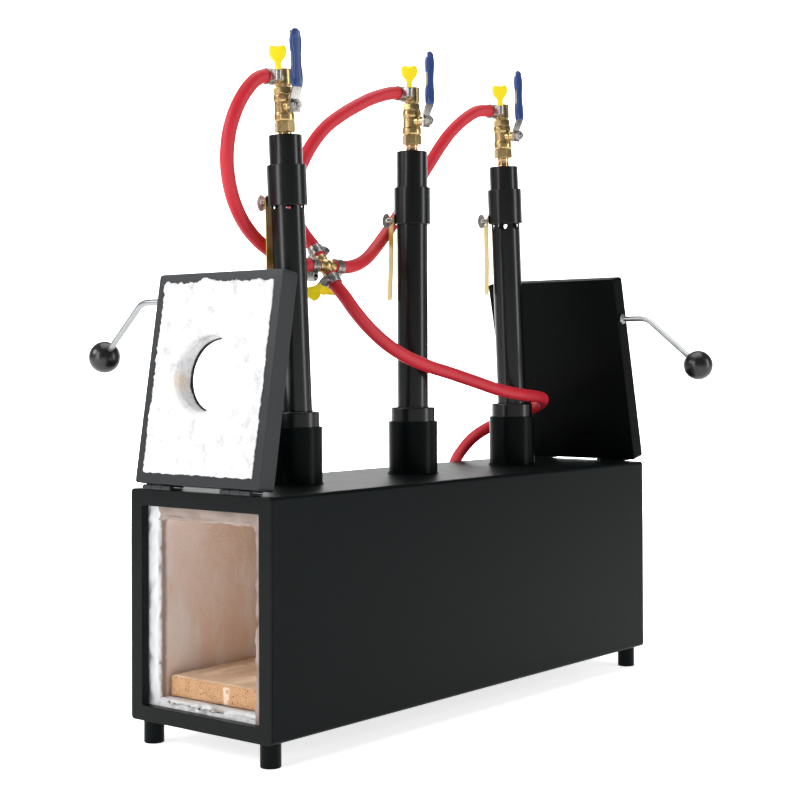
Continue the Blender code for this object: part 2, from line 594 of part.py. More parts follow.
def make_valve(number, parent):
    """A ball valve with its jet nipple and hose elbow, and the lever with its stem and ball."""
    radius = VALVE_BODY_DIAMETER / 2
    body_high = HEX_LOW + VALVE_BODY
    ease = SHEET / 2
    mesh = bmesh.new()
    add_hex(mesh, HEX_FLATS, 0.0, HEX_LOW + GAP)
    body = finish("valve_body_%d" % number, mesh, BRASS, parent)
    joined = []
    mesh = bmesh.new()
    add_lathe(mesh, [(0.0, HEX_LOW), (radius - ease, HEX_LOW), (radius, HEX_LOW + ease),
                     (radius, body_high - ease), (radius - ease, body_high), (0.0, body_high)],
              MIDDLE_ROUND, turn=pi / (3 * MIDDLE_ROUND))
    joined.append(("valve_barrel", mesh))
    mesh = bmesh.new()
    add_hex(mesh, TOP_HEX_FLATS, body_high - GAP, VALVE_TOP, turn=pi / HEX)
    joined.append(("valve_top", mesh))
    mesh = bmesh.new()
    nipple = NIPPLE_DIAMETER / 2
    add_lathe(mesh, [(0.0, -NIPPLE_LENGTH), (nipple * 0.6, -NIPPLE_LENGTH), (nipple, nipple - NIPPLE_LENGTH),
                     (nipple, GAP), (0.0, GAP)], SMALL_ROUND)
    joined.append(("nipple", mesh))
    mesh = bmesh.new()
    elbow = ELBOW_DIAMETER / 2
    high = VALVE_TOP + ELBOW_HEIGHT
    edge = elbow / 3
    add_lathe(mesh, [(0.0, VALVE_TOP - GAP), (elbow, VALVE_TOP - GAP), (elbow, high - edge),
                     (elbow - edge, high), (0.0, high)], SMALL_ROUND)
    joined.append(("elbow", mesh))
    branch = frame_along((0.0, 0.0, BRANCH_UP), (-1.0, 0.0, 0.0))
    mesh = bmesh.new()
    add_rod(mesh, BRANCH_DIAMETER / 2, 0.0, BRANCH_REACH - GAP, SMALL_ROUND, branch)
    joined.append(("elbow_branch", mesh))
    turned = Matrix.Rotation(radians(VALVE_TURNS[number - 1]), 4, "Z")
    to_viewer = turned @ frame_along((0.0, 0.0, STEM_UP), (0.0, -1.0, 0.0))
    mesh = bmesh.new()
    add_rod(mesh, BOSS_DIAMETER / 2, radius / 2, BOSS_REACH, SMALL_ROUND, to_viewer)
    joined.append(("valve_boss", mesh))
    for name, mesh in joined:
        boolean(body, finish("%s_%d" % (name, number), mesh, BRASS, parent), "UNION")
    cut = []
    mesh = bmesh.new()
    add_rod(mesh, NIPPLE_BORE / 2, -NIPPLE_LENGTH - OVERRUN, HEX_LOW, TINY_ROUND)
    cut.append(("nipple_way", mesh))
    mesh = bmesh.new()
    add_rod(mesh, VALVE_BORE / 2, HEX_LOW / 2, BRANCH_UP + VALVE_BORE / 4, TINY_ROUND)
    cut.append(("valve_way", mesh))
    mesh = bmesh.new()
    end = BRANCH_REACH + OVERRUN
    add_rod(mesh, VALVE_BORE / 2, -VALVE_BORE / 3, end, TINY_ROUND, branch, pi / TINY_ROUND)
    cut.append(("branch_way", mesh))
    mesh = bmesh.new()
    bmesh.ops.create_uvsphere(mesh, u_segments=SMALL_ROUND, v_segments=TINY_ROUND,
                              radius=BALL_DIAMETER / 2 + BALL_CLEARANCE, matrix=to_viewer)
    cut.append(("valve_seat", mesh))
    mesh = bmesh.new()
    bore = STEM_DIAMETER / 2 + GAP
    add_rod(mesh, bore, 0.0, BOSS_REACH + OVERRUN, SMALL_ROUND, to_viewer, pi / SMALL_ROUND)
    cut.append(("stem_bore", mesh))
    for name, mesh in cut:
        boolean(body, finish("%s_%d" % (name, number), mesh, BRASS, parent), "DIFFERENCE")
    make_lever(number, parent)


def make_burners():
    """Everything that stands in the sockets, each burner under its own leaning parent."""
    for index in range(BURNER_COUNT):
        number = index + 1
        lean = BURNER_LEANS[index]
        length = TUBE_LENGTHS[index]
        parent = empty("burner_%d" % number, (burner_x(index), 0.0, PIVOT_Z), (0.0, radians(lean), 0.0))
        make_burner_tube(number, parent, lean, length, AIR_HOLE_TURNS[index])
        make_choke(number, parent, length, CHOKE_DROPS[index], SCREW_TURNS[index])
        make_valve(number, empty("valve_%d" % number, (0.0, 0.0, valve_seat(index)), parent=parent))


def branch_frame(index):
    """The placing of an elbow's branch in the world, +Z along the hose's first stretch."""
    up = valve_seat(index) + BRANCH_UP
    return burner_tilt(index) @ frame_along((0.0, 0.0, up), (-1.0, 0.0, 0.0), (0.0, -1.0, 0.0))


# The cross's ports: where the hose goes, where its clamp's screw lies, and which way the key points
CROSS_PORTS = [
    ("hose_1", Vector((-1.0, 0.0, 0.0)), Vector((0.0, 0.0, -1.0)), Vector((0.0, 1.0, 0.0))),
    ("hose_2", Vector((0.0, 0.6, 0.8)), Vector((1.0, 0.0, 0.0)), Vector((0.0, 0.8, -0.6))),
    ("hose_3", Vector((1.0, 0.0, 0.0)), Vector((0.0, 1.0, 0.0)), Vector((0.0, 0.0, -1.0))),
    ("supply_hose", Vector((0.0, -0.6, -0.8)), Vector((-1.0, 0.0, 0.0)), Vector((0.0, 0.8, -0.6))),
]


def make_cross():
    """The four-way cross that shares the gas out."""
    mesh = bmesh.new()
    bmesh.ops.create_uvsphere(mesh, u_segments=SMALL_ROUND, v_segments=8, radius=CROSS_BODY / 2,
                              matrix=Matrix.Translation(CROSS_CENTRE))
    cross = finish("manifold_cross", mesh, BRASS)
    reach = CROSS_REACH - GAP
    # the branch is turned half a facet and is a shade slimmer, so that no two faces coincide
    for name, port, turn, slim in (("run", 0, 0.0, 0.0), ("branch", 1, pi / SMALL_ROUND, GAP / 2)):
        place = frame_along(CROSS_CENTRE, CROSS_PORTS[port][1])
        mesh = bmesh.new()
        add_rod(mesh, CROSS_ARM / 2 - slim, -reach, reach, SMALL_ROUND, place, turn)
        boolean(cross, finish("cross_" + name, mesh, BRASS), "UNION")
    for name, port, turn, slim in (("run", 0, 0.0, 0.0), ("branch", 1, pi / SMALL_ROUND, GAP)):
        place = frame_along(CROSS_CENTRE, CROSS_PORTS[port][1])
        mesh = bmesh.new()
        add_rod(mesh, CROSS_BORE / 2 - slim, -reach - OVERRUN, reach + OVERRUN, SMALL_ROUND, place, turn)
        boolean(cross, finish("cross_%s_bore" % name, mesh, BRASS), "DIFFERENCE")


def wing_outline():
    """The two-lobed outline of a thumb key, from its waist at the neck to its top."""
    half = WING_WIDTH / 2
    waist = WING_WAIST_SHARE * half
    lobe = WING_HEIGHT / 2
    points = [(-waist, 0.0), (waist, 0.0)]
    points += [(half - lobe * 0.5 * (1 - cos(a)) if a > pi / 2 else half - lobe * 0.35 * (1 - sin(a)),
                lobe * (1 - cos(a))) for a in (0.35 * pi, 0.5 * pi, 0.75 * pi, 0.95 * pi)]
    points += [(0.0, WING_HEIGHT * 0.86)]
    points += [(-x, y) for x, y in reversed(points[2:6])]
    return points


def make_key(number, place):
    """A thumb key on its clamp's screw; the placing has +Z along the screw, outwards."""
    axis = bpy.data.objects.new("key_axis_%d" % number, None)
    bpy.context.scene.collection.objects.link(axis)
    axis.matrix_world = place
    start = HOUSING_ALONG_SCREW / 2 + GAP
    mesh = bmesh.new()
    add_rod(mesh, NECK_DIAMETER / 2, start, start + NECK + GAP, SMALL_ROUND)
    key = finish("clamp_key_%d" % number, mesh, YELLOW_PLASTIC, axis)
    mesh = bmesh.new()
    stand = Matrix(((1, 0, 0, 0), (0, 0, -1, 0), (0, 1, 0, 0), (0, 0, 0, 1)))
    lift = Matrix.Translation((0.0, 0.0, start + NECK))
    add_prism(mesh, wing_outline(), -WING_THICKNESS / 2, WING_THICKNESS / 2, lift @ stand)
    wing = finish("key_wing_%d" % number, mesh, YELLOW_PLASTIC, axis)
    boolean(key, wing, "UNION")


def clamp_frames():
    """The placing of every clamp: three on the elbows, then four on the cross."""
    frames = []
    for index in range(BURNER_COUNT):
        frames.append(branch_frame(index) @ Matrix.Translation((0.0, 0.0, BRANCH_REACH + BAND_FROM_PORT)))
    for _, way, side, _ in CROSS_PORTS:
        frames.append(frame_along(CROSS_CENTRE + way * (CROSS_REACH + BAND_FROM_PORT), way, side))
    return frames


def make_clamps():
    """A clamp where each hose meets its fitting, and a thumb key on each clamp's screw."""
    for i, place in enumerate(clamp_frames()):
        make_clamp("hose_clamp_%d" % (i + 1), place)
        screw = place @ Matrix.Translation((HOUSING_OFFSET, 0.0, 0.0))
        if i < BURNER_COUNT:
            way = (branch_frame(i).to_3x3() @ Vector((0.0, 1.0, 0.0))).normalized()
            if way.z < 0:
                way = -way
        else:
            way = CROSS_PORTS[i - BURNER_COUNT][3]
        make_key(i + 1, frame_along(screw.translation, way, WINGS_ACROSS))


def smooth_route(points, step):
    """Points at even steps along one smooth curve; its first and last stretches stay straight."""
    dense = []
    for a, b, c, d in zip(points, points[1:], points[2:], points[3:]):
        t1 = (b - a).length ** 0.5
        t2 = t1 + (c - b).length ** 0.5
        t3 = t2 + (d - c).length ** 0.5
        for i in range(24):
            t = t1 + (t2 - t1) * i / 24
            ab = a * (t1 - t) / t1 + b * t / t1
            bc = b * (t2 - t) / (t2 - t1) + c * (t - t1) / (t2 - t1)
            cd = c * (t3 - t) / (t3 - t2) + d * (t - t2) / (t3 - t2)
            abc = ab * (t2 - t) / t2 + bc * t / t2
            bcd = bc * (t3 - t) / (t3 - t1) + cd * (t - t1) / (t3 - t1)
            dense.append(abc * (t2 - t) / (t2 - t1) + bcd * (t - t1) / (t2 - t1))
    dense.append(points[-2])
    lengths = [0.0]
    for a, b in zip(dense, dense[1:]):
        lengths.append(lengths[-1] + (b - a).length)
    count = max(2, round(lengths[-1] / step))
    even = [points[0]]
    at = 0
    for i in range(count + 1):
        want = lengths[-1] * i / count
        while at < len(lengths) - 2 and lengths[at + 1] < want:
            at += 1
        share = (want - lengths[at]) / (lengths[at + 1] - lengths[at])
        even.append(dense[at].lerp(dense[at + 1], share))
    even.append(points[-1])
    total = lengths[-1] + (points[1] - points[0]).length + (points[-1] - points[-2]).length
    return even, total


def make_hose(name, points):
    """A hose as a round tube along its route."""
    even, length = smooth_route(points, HOSE_STEP)
    data = bpy.data.curves.new(name, "CURVE")
    data.dimensions = "3D"
    data.bevel_depth = HOSE_DIAMETER / 2
    data.bevel_resolution = 2
    data.use_fill_caps = True
    spline = data.splines.new("POLY")
    spline.points.add(len(even) - 1)
    for point, place in zip(spline.points, even):
        point.co = (*place, 1.0)
    made = bpy.data.objects.new(name, data)
    made.data.materials.append(RUBBER)
    bpy.context.scene.collection.objects.link(made)
    print(name, "length %.3f m" % length)


def straight(place, reach, length):
    """The two ends of the straight stretch where a hose leaves a fitting."""
    return [place @ Vector((0.0, 0.0, reach)), place @ Vector((0.0, 0.0, reach + length))]


def make_hoses():
    """The three short hoses, the supply hose and its end connector."""
    run = 2 * BAND_FROM_PORT
    ports = {name: frame_along(CROSS_CENTRE, way) for name, way, _, _ in CROSS_PORTS}
    elbow_first = {"hose_1": HOSE_1_ROUTE, "hose_2": HOSE_2_ROUTE}
    for index, (name, route) in enumerate(elbow_first.items()):
        points = straight(branch_frame(index), BRANCH_REACH, run) + [Vector(p) for p in route]
        points += reversed(straight(ports[name], CROSS_REACH, run))
        make_hose(name, points)
    points = straight(ports["hose_3"], CROSS_REACH, run) + [Vector(p) for p in HOSE_3_ROUTE]
    points += reversed(straight(branch_frame(2), BRANCH_REACH, run))
    make_hose("hose_3", points)
    way = CONNECTOR_WAY.normalized()
    points = straight(ports["supply_hose"], CROSS_REACH, run) + [Vector(p) for p in SUPPLY_ROUTE]
    points += [CONNECTOR_START - way * HOSE_DIAMETER, CONNECTOR_START - way * GAP]
    make_hose("supply_hose", points)
    place = frame_along(CONNECTOR_START, way)
    collar = CONNECTOR_COLLAR_DIAMETER / 2
    mesh = bmesh.new()
    add_rod(mesh, collar, 0.0, CONNECTOR_COLLAR + GAP, SMALL_ROUND, place)
    made = finish("supply_connector", mesh, BRASS)
    end = CONNECTOR_COLLAR + CONNECTOR_NUT
    mesh = bmesh.new()
    add_hex(mesh, CONNECTOR_FLATS, CONNECTOR_COLLAR, end, place, turn=pi / HEX)
    boolean(made, finish("connector_nut", mesh, BRASS), "UNION")
    mesh = bmesh.new()
    add_rod(mesh, CONNECTOR_BORE / 2, end - CONNECTOR_BORE_DEPTH, end + OVERRUN, SMALL_ROUND, place)
    boolean(made, finish("connector_bore", mesh, BRASS), "DIFFERENCE")


def leaf_length(lean):
    """How long a leaf can be, so that the open door comes to rest on the box's leaf."""
    under_door = DOOR_EDGE_OFFSET - LEAF
    over_leaf = KNUCKLE_DIAMETER / 2 - LEAF
    return (under_door * cos(lean) + over_leaf - GAP) / sin(lean)


def make_door(name, way, width, height, lean, handle_up, port):
    """One door, built up from its hinge axis: +Z up the open door, +X from its rim to its outer face."""
    turn = 0.0 if way < 0 else pi
    axis = empty(name + "_axis", (way * AXIS_X, 0.0, AXIS_Z), (0.0, lean, turn))
    half = width / 2
    low = DOOR_EDGE_OFFSET
    high = low + height
    rim = -RIM_OFFSET
    face = rim + DOOR_DEPTH
    sheet = DOOR_SHEET
    stand = Matrix(((0, 0, 1, 0), (1, 0, 0, 0), (0, 1, 0, 0), (0, 0, 0, 1)))   # outline (y, z), height x
    outer = rounded_rectangle((-half, low), (half, high), DOOR_CORNER)
    inner = rounded_rectangle((-half + sheet, low + sheet), (half - sheet, high - sheet), DOOR_CORNER - sheet)
    lip = DOOR_LIP
    opening = rounded_rectangle((-half + lip, low + lip), (half - lip, high - lip), sheet / 2)
    mesh = bmesh.new()

    def ring(outline, x):
        return [mesh.verts.new((x, y, z)) for y, z in outline]
    rings = [ring(outer, face), ring(outer, rim), ring(opening, rim), ring(opening, rim + sheet),
             ring(inner, rim + sheet), ring(inner, face - sheet)]
    count = len(outer)
    for first, second in zip(rings, rings[1:]):
        for i in range(count):
            j = (i + 1) % count
            mesh.faces.new((first[i], first[j], second[j], second[i]))
    mesh.faces.new(rings[0])
    mesh.faces.new(rings[-1])
    pan = finish(name + "_pan", mesh, BLACK_STEEL, axis)
    # the hinge leaves are welded under the hinged flange
    inside = (-HINGE_LENGTH / 6 + KNUCKLE_GAP / 2, HINGE_LENGTH / 6 - KNUCKLE_GAP / 2)
    shifts = (-HINGE_SPREAD / 2, HINGE_SPREAD / 2)
    parts = hinge_side_parts(leaf_length(lean), low - LEAF + GAP / 4, [inside], shifts, False)
    kinds = ("UNION", "UNION", "UNION", "DIFFERENCE")
    for label, part, kind in zip(("plates", "tabs", "rolls", "bores"), parts, kinds):
        boolean(pan, finish(name + "_hinge_" + label, part, BLACK_STEEL, axis), kind)
    # wool: a block behind the lip and a pad that fills the opening
    mesh = bmesh.new()
    reach = sheet + GAP
    block = rounded_rectangle((-half + reach, low + reach), (half - reach, high - reach),
                              DOOR_CORNER - sheet)
    add_prism(mesh, block, rim + reach, face - reach, stand)
    wool = finish(name + "_wool", mesh, WHITE_WOOL, axis)
    mesh = bmesh.new()
    spare = lip + GAP
    pad = rounded_rectangle((-half + spare, low + spare), (half - spare, high - spare), sheet / 2)
    add_prism(mesh, pad, rim + WOOL_DROP, rim + reach + sheet, stand)
    boolean(wool, finish(name + "_wool_pad", mesh, WHITE_WOOL, axis), "UNION")
    if port:
        middle = Matrix.Translation((0.0, PORT_SIDE, (low + high) / 2 + PORT_RISE))
        middle = middle @ Matrix.Rotation(pi / 2, 4, "Y")
        mesh = bmesh.new()
        add_rod(mesh, PORT_DIAMETER / 2, face - sheet - OVERRUN, face + OVERRUN, ROUND, middle)
        boolean(pan, finish(name + "_port", mesh, BLACK_STEEL, axis), "DIFFERENCE")
        mesh = bmesh.new()
        add_rod(mesh, PORT_DIAMETER / 2 + PORT_WOOL_CUT, rim - OVERRUN, face + OVERRUN, ROUND, middle)
        boolean(wool, finish(name + "_wool_port", mesh, WHITE_WOOL, axis), "DIFFERENCE")
    make_handle(name, axis, half, rim + HANDLE_DEPTH_SHARE * DOOR_DEPTH, handle_up)


def make_handle(name, axis, half, depth, up):
    """A bent rod welded to the door's flange, with a ball knob. It stands on the door's +Y side."""
    start = Vector((depth, half + GAP, up))
    bend = Vector((depth, half + HANDLE_OUT, up))
    knob = Vector((depth + KNOB_FORWARD, KNOB_REACH, up - KNOB_DROP))
    way_in = (start - bend).normalized()
    way_out = (knob - bend).normalized()
    first = bend + way_in * HANDLE_BEND
    last = bend + way_out * HANDLE_BEND
    points = [start + Vector((0.0, WELD_HEIGHT / 2, 0.0)), first]
    for i in range(1, 6):
        t = i / 6
        points.append(first * (1 - t) ** 2 + bend * 2 * t * (1 - t) + last * t ** 2)
    end = knob - way_out * (KNOB_DIAMETER / 2 - SHEET)
    points += [last, end]
    rod = ROD_DIAMETER / 2
    mesh = bmesh.new()
    rings = []
    for i, point in enumerate(points):
        before = points[max(i - 1, 0)]
        after = points[min(i + 1, len(points) - 1)]
        place = frame_along(point, after - before, (1.0, 0.0, 0.0))
        angles = [2 * pi * k / 12 for k in range(12)]
        rings.append([mesh.verts.new(place @ Vector((rod * cos(a), rod * sin(a), 0.0))) for a in angles])
    for a, b in zip(rings, rings[1:]):
        for k in range(12):
            m = (k + 1) % 12
            mesh.faces.new((a[k], a[m], b[m], b[k]))
    mesh.faces.new(rings[0])
    mesh.faces.new(rings[-1])
    handle = finish(name + "_handle", mesh, ZINC, axis)
    wide = WELD_DIAMETER / 2
    mesh = bmesh.new()
    add_lathe(mesh, [(0.0, 0.0), (wide, 0.0), (wide * 0.85, WELD_HEIGHT * 0.5), (rod, WELD_HEIGHT),
                     (0.0, WELD_HEIGHT)], 12, frame_along(start, (0.0, 1.0, 0.0)))
    boolean(handle, finish(name + "_weld", mesh, ZINC, axis), "UNION")
    mesh = bmesh.new()
    place = frame_along(knob, way_out)
    bmesh.ops.create_uvsphere(mesh, u_segments=MIDDLE_ROUND, v_segments=SMALL_ROUND,
                              radius=KNOB_DIAMETER / 2, matrix=place)
    made = finish(name + "_knob", mesh, BLACK_PLASTIC, axis)
    mesh = bmesh.new()
    ball = KNOB_DIAMETER / 2
    add_rod(mesh, rod + GAP, -ball - OVERRUN, -ball + SHEET + GAP, MIDDLE_ROUND, place)
    boolean(made, finish(name + "_knob_hole", mesh, BLACK_PLASTIC, axis), "DIFFERENCE")


def make_box_hinges():
    """The leaves on the box's top, each with its pin swaged into its two outer knuckles."""
    third = HINGE_LENGTH / 6
    half = HINGE_LENGTH / 2
    knuckles = [(-half, -third - KNUCKLE_GAP / 2), (third + KNUCKLE_GAP / 2, half)]
    for side, way, lean in (("front", -1, FRONT_LEAN), ("rear", 1, REAR_LEAN)):
        turn = 0.0 if way < 0 else pi
        axis = empty(side + "_hinge_axis", (way * AXIS_X, 0.0, AXIS_Z), (0.0, 0.0, turn))
        for number, shift in ((1, -HINGE_SPREAD / 2), (2, HINGE_SPREAD / 2)):
            name = "%s_hinge_leaf_%d" % (side, number)
            parts = hinge_side_parts(leaf_length(lean), -KNUCKLE_DIAMETER / 2, knuckles, [shift], True)
            leaf = finish(name, parts[0], DARK_STEEL, axis)
            for label, part in zip(("tabs", "rolls", "pin"), parts[1:]):
                boolean(leaf, finish("%s_%s" % (name, label), part, DARK_STEEL, axis), "UNION")


def add_feet(mesh):
    """Four round pegs, let into the shell's bottom."""
    radius = FOOT_DIAMETER / 2
    for x in (-1, 1):
        for y in (-1, 1):
            place = Matrix.Translation((x * (END_X - FOOT_INSET), y * (SIDE_Y - FOOT_INSET), 0.0))
            top = FOOT_HEIGHT + SHEET / 2
            profile = [(0.0, 0.0), (radius - SHEET / 2, 0.0), (radius, SHEET / 2), (radius, top), (0.0, top)]
            add_lathe(mesh, profile, MIDDLE_ROUND, place)


def make_lever(number, parent):
    """The lever, with its stem, nut and ball, which turn together, and its dipped grip."""
    turn = radians(VALVE_TURNS[number - 1])
    stem = empty("stem_axis_%d" % number, (0.0, 0.0, STEM_UP), (0.0, 0.0, turn), parent)
    near = BOSS_REACH + GAP
    plate = near + LEVER_THICKNESS
    nut_end = plate + NUT
    outward = frame_along((0.0, 0.0, 0.0), (0.0, -1.0, 0.0))
    rise = LEVER_STRAIGHT + 2 * LEVER_CRANK
    outline = [(near, -LEVER_TAIL), (near, LEVER_STRAIGHT), (near + LEVER_CRANK, rise),
               (near + LEVER_CRANK, LEVER_LENGTH), (plate + LEVER_CRANK, LEVER_LENGTH),
               (plate + LEVER_CRANK, rise), (plate, LEVER_STRAIGHT), (plate, -LEVER_TAIL)]
    # outline (away from the valve, up), height across the lever
    across = Matrix(((0, 0, 1, 0), (-1, 0, 0, 0), (0, 1, 0, 0), (0, 0, 0, 1)))
    mesh = bmesh.new()
    add_prism(mesh, outline, -LEVER_WIDTH / 2, LEVER_WIDTH / 2, across)
    lever = finish("lever_%d" % number, mesh, ZINC, stem)
    mesh = bmesh.new()
    add_rod(mesh, STEM_DIAMETER / 2, 0.0, nut_end + SHEET, SMALL_ROUND, outward)
    boolean(lever, finish("lever_stem_%d" % number, mesh, ZINC, stem), "UNION")
    mesh = bmesh.new()
    add_hex(mesh, NUT_FLATS, plate - GAP, nut_end, outward)
    boolean(lever, finish("lever_nut_%d" % number, mesh, ZINC, stem), "UNION")
    mesh = bmesh.new()
    bmesh.ops.create_uvsphere(mesh, u_segments=SMALL_ROUND, v_segments=TINY_ROUND,
                              radius=BALL_DIAMETER / 2, matrix=outward)
    boolean(lever, finish("lever_ball_%d" % number, mesh, ZINC, stem), "UNION")
    middle = near + LEVER_CRANK + LEVER_THICKNESS / 2
    mesh = bmesh.new()
    add_box(mesh, (-GRIP_WIDTH / 2, -middle - GRIP_THICKNESS / 2, rise + GAP),
            (GRIP_WIDTH / 2, -middle + GRIP_THICKNESS / 2, LEVER_LENGTH + GRIP_END),
            bevel=GRIP_THICKNESS / 4, segments=2)
    grip = finish("lever_grip_%d" % number, mesh, BLUE_VINYL, stem)
    mesh = bmesh.new()
    slot = LEVER_THICKNESS / 2 + GAP
    add_box(mesh, (-LEVER_WIDTH / 2 - GAP, -middle - slot, rise - OVERRUN),
            (LEVER_WIDTH / 2 + GAP, -middle + slot, LEVER_LENGTH + GAP))
    boolean(grip, finish("grip_slot_%d" % number, mesh, BLUE_VINYL, stem), "DIFFERENCE")


def burner_tilt(index):
    """The placing of a burner's own frame, whose +Z runs up its leaning tube."""
    lean = Matrix.Rotation(radians(BURNER_LEANS[index]), 4, "Y")
    return Matrix.Translation((burner_x(index), 0.0, PIVOT_Z)) @ lean


def valve_seat(index):
    """How far a burner's valve stands above its pivot, along the tube."""
    return TUBE_LENGTHS[index] + NIPPLE_RISES[index]


def make_clamp(name, place):
    """A clamp's band and screw housing; the placing has +Z along the hose and +X towards the screw."""
    inner = HOSE_DIAMETER / 2 + GAP
    half = BAND_WIDTH / 2
    mesh = bmesh.new()
    add_rod(mesh, inner + BAND_WALL, -half, half, MIDDLE_ROUND, place)
    band = finish(name, mesh, ZINC)
    mesh = bmesh.new()
    add_box(mesh, (inner, -HOUSING_ALONG_SCREW / 2, -HOUSING_ALONG_HOSE / 2),
            (HOUSING_OFFSET + HOUSING_DEPTH / 2, HOUSING_ALONG_SCREW / 2, HOUSING_ALONG_HOSE / 2),
            bevel=SHEET / 4)
    mesh.transform(place)
    boolean(band, finish(name + "_housing", mesh, ZINC), "UNION")
    mesh = bmesh.new()
    add_rod(mesh, inner, -half - OVERRUN, half + OVERRUN, MIDDLE_ROUND, place)
    boolean(band, finish(name + "_bore", mesh, ZINC), "DIFFERENCE")


def hinge_side_parts(length, low, knuckles, shifts, pinned):
    """The closed shapes of one side of a hinge: plate, tabs, knuckles, and the pin or its bores."""
    near = KNUCKLE_DIAMETER / 2 + KNUCKLE_GAP
    half = HINGE_LENGTH / 2
    lie = Matrix.Rotation(-pi / 2, 4, "X")
    turn = pi / SMALL_ROUND
    plates = bmesh.new()
    tabs = bmesh.new()
    rolls = bmesh.new()
    pins = bmesh.new()
    for shift in shifts:
        add_box(plates, (near, shift - half, low), (length, shift + half, low + LEAF))
        for start, end in knuckles:
            add_box(tabs, (LEAF / 2, shift + start + GAP, low + GAP / 4),
                    (near + KNUCKLE_GAP, shift + end - GAP, low + LEAF - GAP / 4))
            add_rod(rolls, KNUCKLE_DIAMETER / 2, shift + start, shift + end, SMALL_ROUND, lie, turn)
            if not pinned:
                spare = OVERRUN / 8
                add_rod(pins, PIN_BORE / 2, shift + start - spare, shift + end + spare, SMALL_ROUND, lie)
        if pinned:
            add_rod(pins, PIN_DIAMETER / 2, shift - half - GAP, shift + half + GAP, SMALL_ROUND, lie)
    return plates, tabs, rolls, pins


make_shell()
make_end_frame("front_end_frame", -1)
make_end_frame("rear_end_frame", 1)
make_lining()
make_floor()
make_burners()
make_cross()
make_clamps()
make_hoses()
make_door("front_door", -1, FRONT_DOOR_WIDTH, FRONT_DOOR_HEIGHT, FRONT_LEAN, FRONT_HANDLE_UP, True)
make_door("rear_door", 1, REAR_DOOR_WIDTH, REAR_DOOR_HEIGHT, REAR_LEAN, REAR_HANDLE_UP, False)
make_box_hinges()
bpy.context.view_layer.update()
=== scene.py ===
"""Finished look of the three-burner gas forge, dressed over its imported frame.

Metres, in the frame's own axes: +X along the box from its front opening, -Y towards the viewer, +Z up.
"""
from math import cos, pi, radians, sin

import bmesh
import bpy
from mathutils import Matrix, Vector, noise


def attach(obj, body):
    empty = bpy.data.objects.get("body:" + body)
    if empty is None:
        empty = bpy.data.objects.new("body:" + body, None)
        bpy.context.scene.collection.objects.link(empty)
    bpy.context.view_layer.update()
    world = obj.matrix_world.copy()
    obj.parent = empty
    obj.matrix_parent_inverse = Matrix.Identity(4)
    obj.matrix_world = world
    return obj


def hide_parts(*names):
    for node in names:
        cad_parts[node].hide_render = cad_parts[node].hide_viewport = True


GAP = 0.0003                 # between pieces that touch
OVERRUN = 0.004              # how far a cutter runs past what it cuts
SHEET = 0.0020               # shell and end frames
CORNER = 0.0040              # outer radius of the folded edges
BOX_LENGTH = 0.7268
BOX_WIDTH = 0.2096
BOX_HEIGHT = 0.2500
FOOT_DIAMETER = 0.0220
FOOT_HEIGHT = 0.0260
FOOT_INSET = 0.0172
FRAME_SIDE = 0.0170          # border of the end frame beside its opening
FRAME_TOP = 0.0180
FRAME_BOTTOM = 0.0165
FRAME_RETURN = 0.0080        # depth of the lip folded inwards round the opening
LINING = 0.0300              # wool on the walls and the roof
BLANKET = 0.0220             # wool on the floor
BRICK_THICKNESS = 0.0240
BRICK_SIDE_GAP = 0.0030
BRICK_RECESS = 0.0230        # from the end plane to the first brick
BRICK_COUNT = 2
DOOR_SHEET = 0.0016
DOOR_DEPTH = 0.0225
DOOR_LIP = 0.0120            # border of the rim round the wool
DOOR_CORNER = 0.0040
FRONT_DOOR_INSET = 0.0113    # on each side, from the box's side to the door's
FRONT_DOOR_WIDTH = BOX_WIDTH - 2 * FRONT_DOOR_INSET
FRONT_DOOR_HEIGHT = 0.2290
FRONT_LEAN = radians(9.4)    # how far past upright the open door rests
FRONT_HANDLE_UP = 0.2045     # from the hinge axis to the handle, along the door
REAR_DOOR_INSET = 0.0023
REAR_DOOR_WIDTH = BOX_WIDTH - 2 * REAR_DOOR_INSET
REAR_DOOR_HEIGHT = 0.2480
REAR_LEAN = radians(12.3)
REAR_HANDLE_UP = 0.1960
PORT_DIAMETER = 0.0780       # round port in the front door
PORT_SIDE = 0.0060           # from the door's middle to the port's, away from the viewer
PORT_RISE = 0.0060           # above the door's middle
PORT_WOOL_CUT = 0.0020       # how much wider the hole in the wool is, all round
PIN_DIAMETER = 0.0024
PIN_BORE = 0.0030
KNUCKLE_DIAMETER = 0.0053
LEAF = 0.0015
HINGE_LENGTH = 0.0430
KNUCKLE_GAP = 0.0005
HINGE_SPREAD = 0.1180        # between the middles of the two hinges of a door
AXIS_RISE = 0.0030           # above the box's top
RIM_OFFSET = 0.00265         # from the axis to the rim's plane
DOOR_EDGE_OFFSET = 0.0035    # from the axis to the door's hinged edge
ROD_DIAMETER = 0.0072
HANDLE_DEPTH_SHARE = 0.54    # where the rod leaves the flange, as a share of the door's depth
HANDLE_OUT = 0.0380          # straight run before the bend
HANDLE_BEND = 0.0110
KNOB_DIAMETER = 0.0370
KNOB_REACH = 0.2315          # from the box's middle plane to the knob's centre
KNOB_FORWARD = 0.0400
KNOB_DROP = 0.0545
WELD_DIAMETER = 0.0120
WELD_HEIGHT = 0.0040
BURNER_COUNT = 3
BURNER_PITCH = 0.2093
ROW_SHIFT = -0.0040          # the middle burner from the box's middle
BURNER_LEANS = (-3.0, 0.0, -3.1)   # degrees that each burner leans in its socket
SOCKET_DIAMETER = 0.0596
SOCKET_WALL = 0.0026
SOCKET_HEIGHT = 0.0640
FLARE_CLEARANCE = 0.0005     # between flare and socket
FLARE_WALL = 0.0030
FLARE_RISE = 0.0170          # flare above the socket
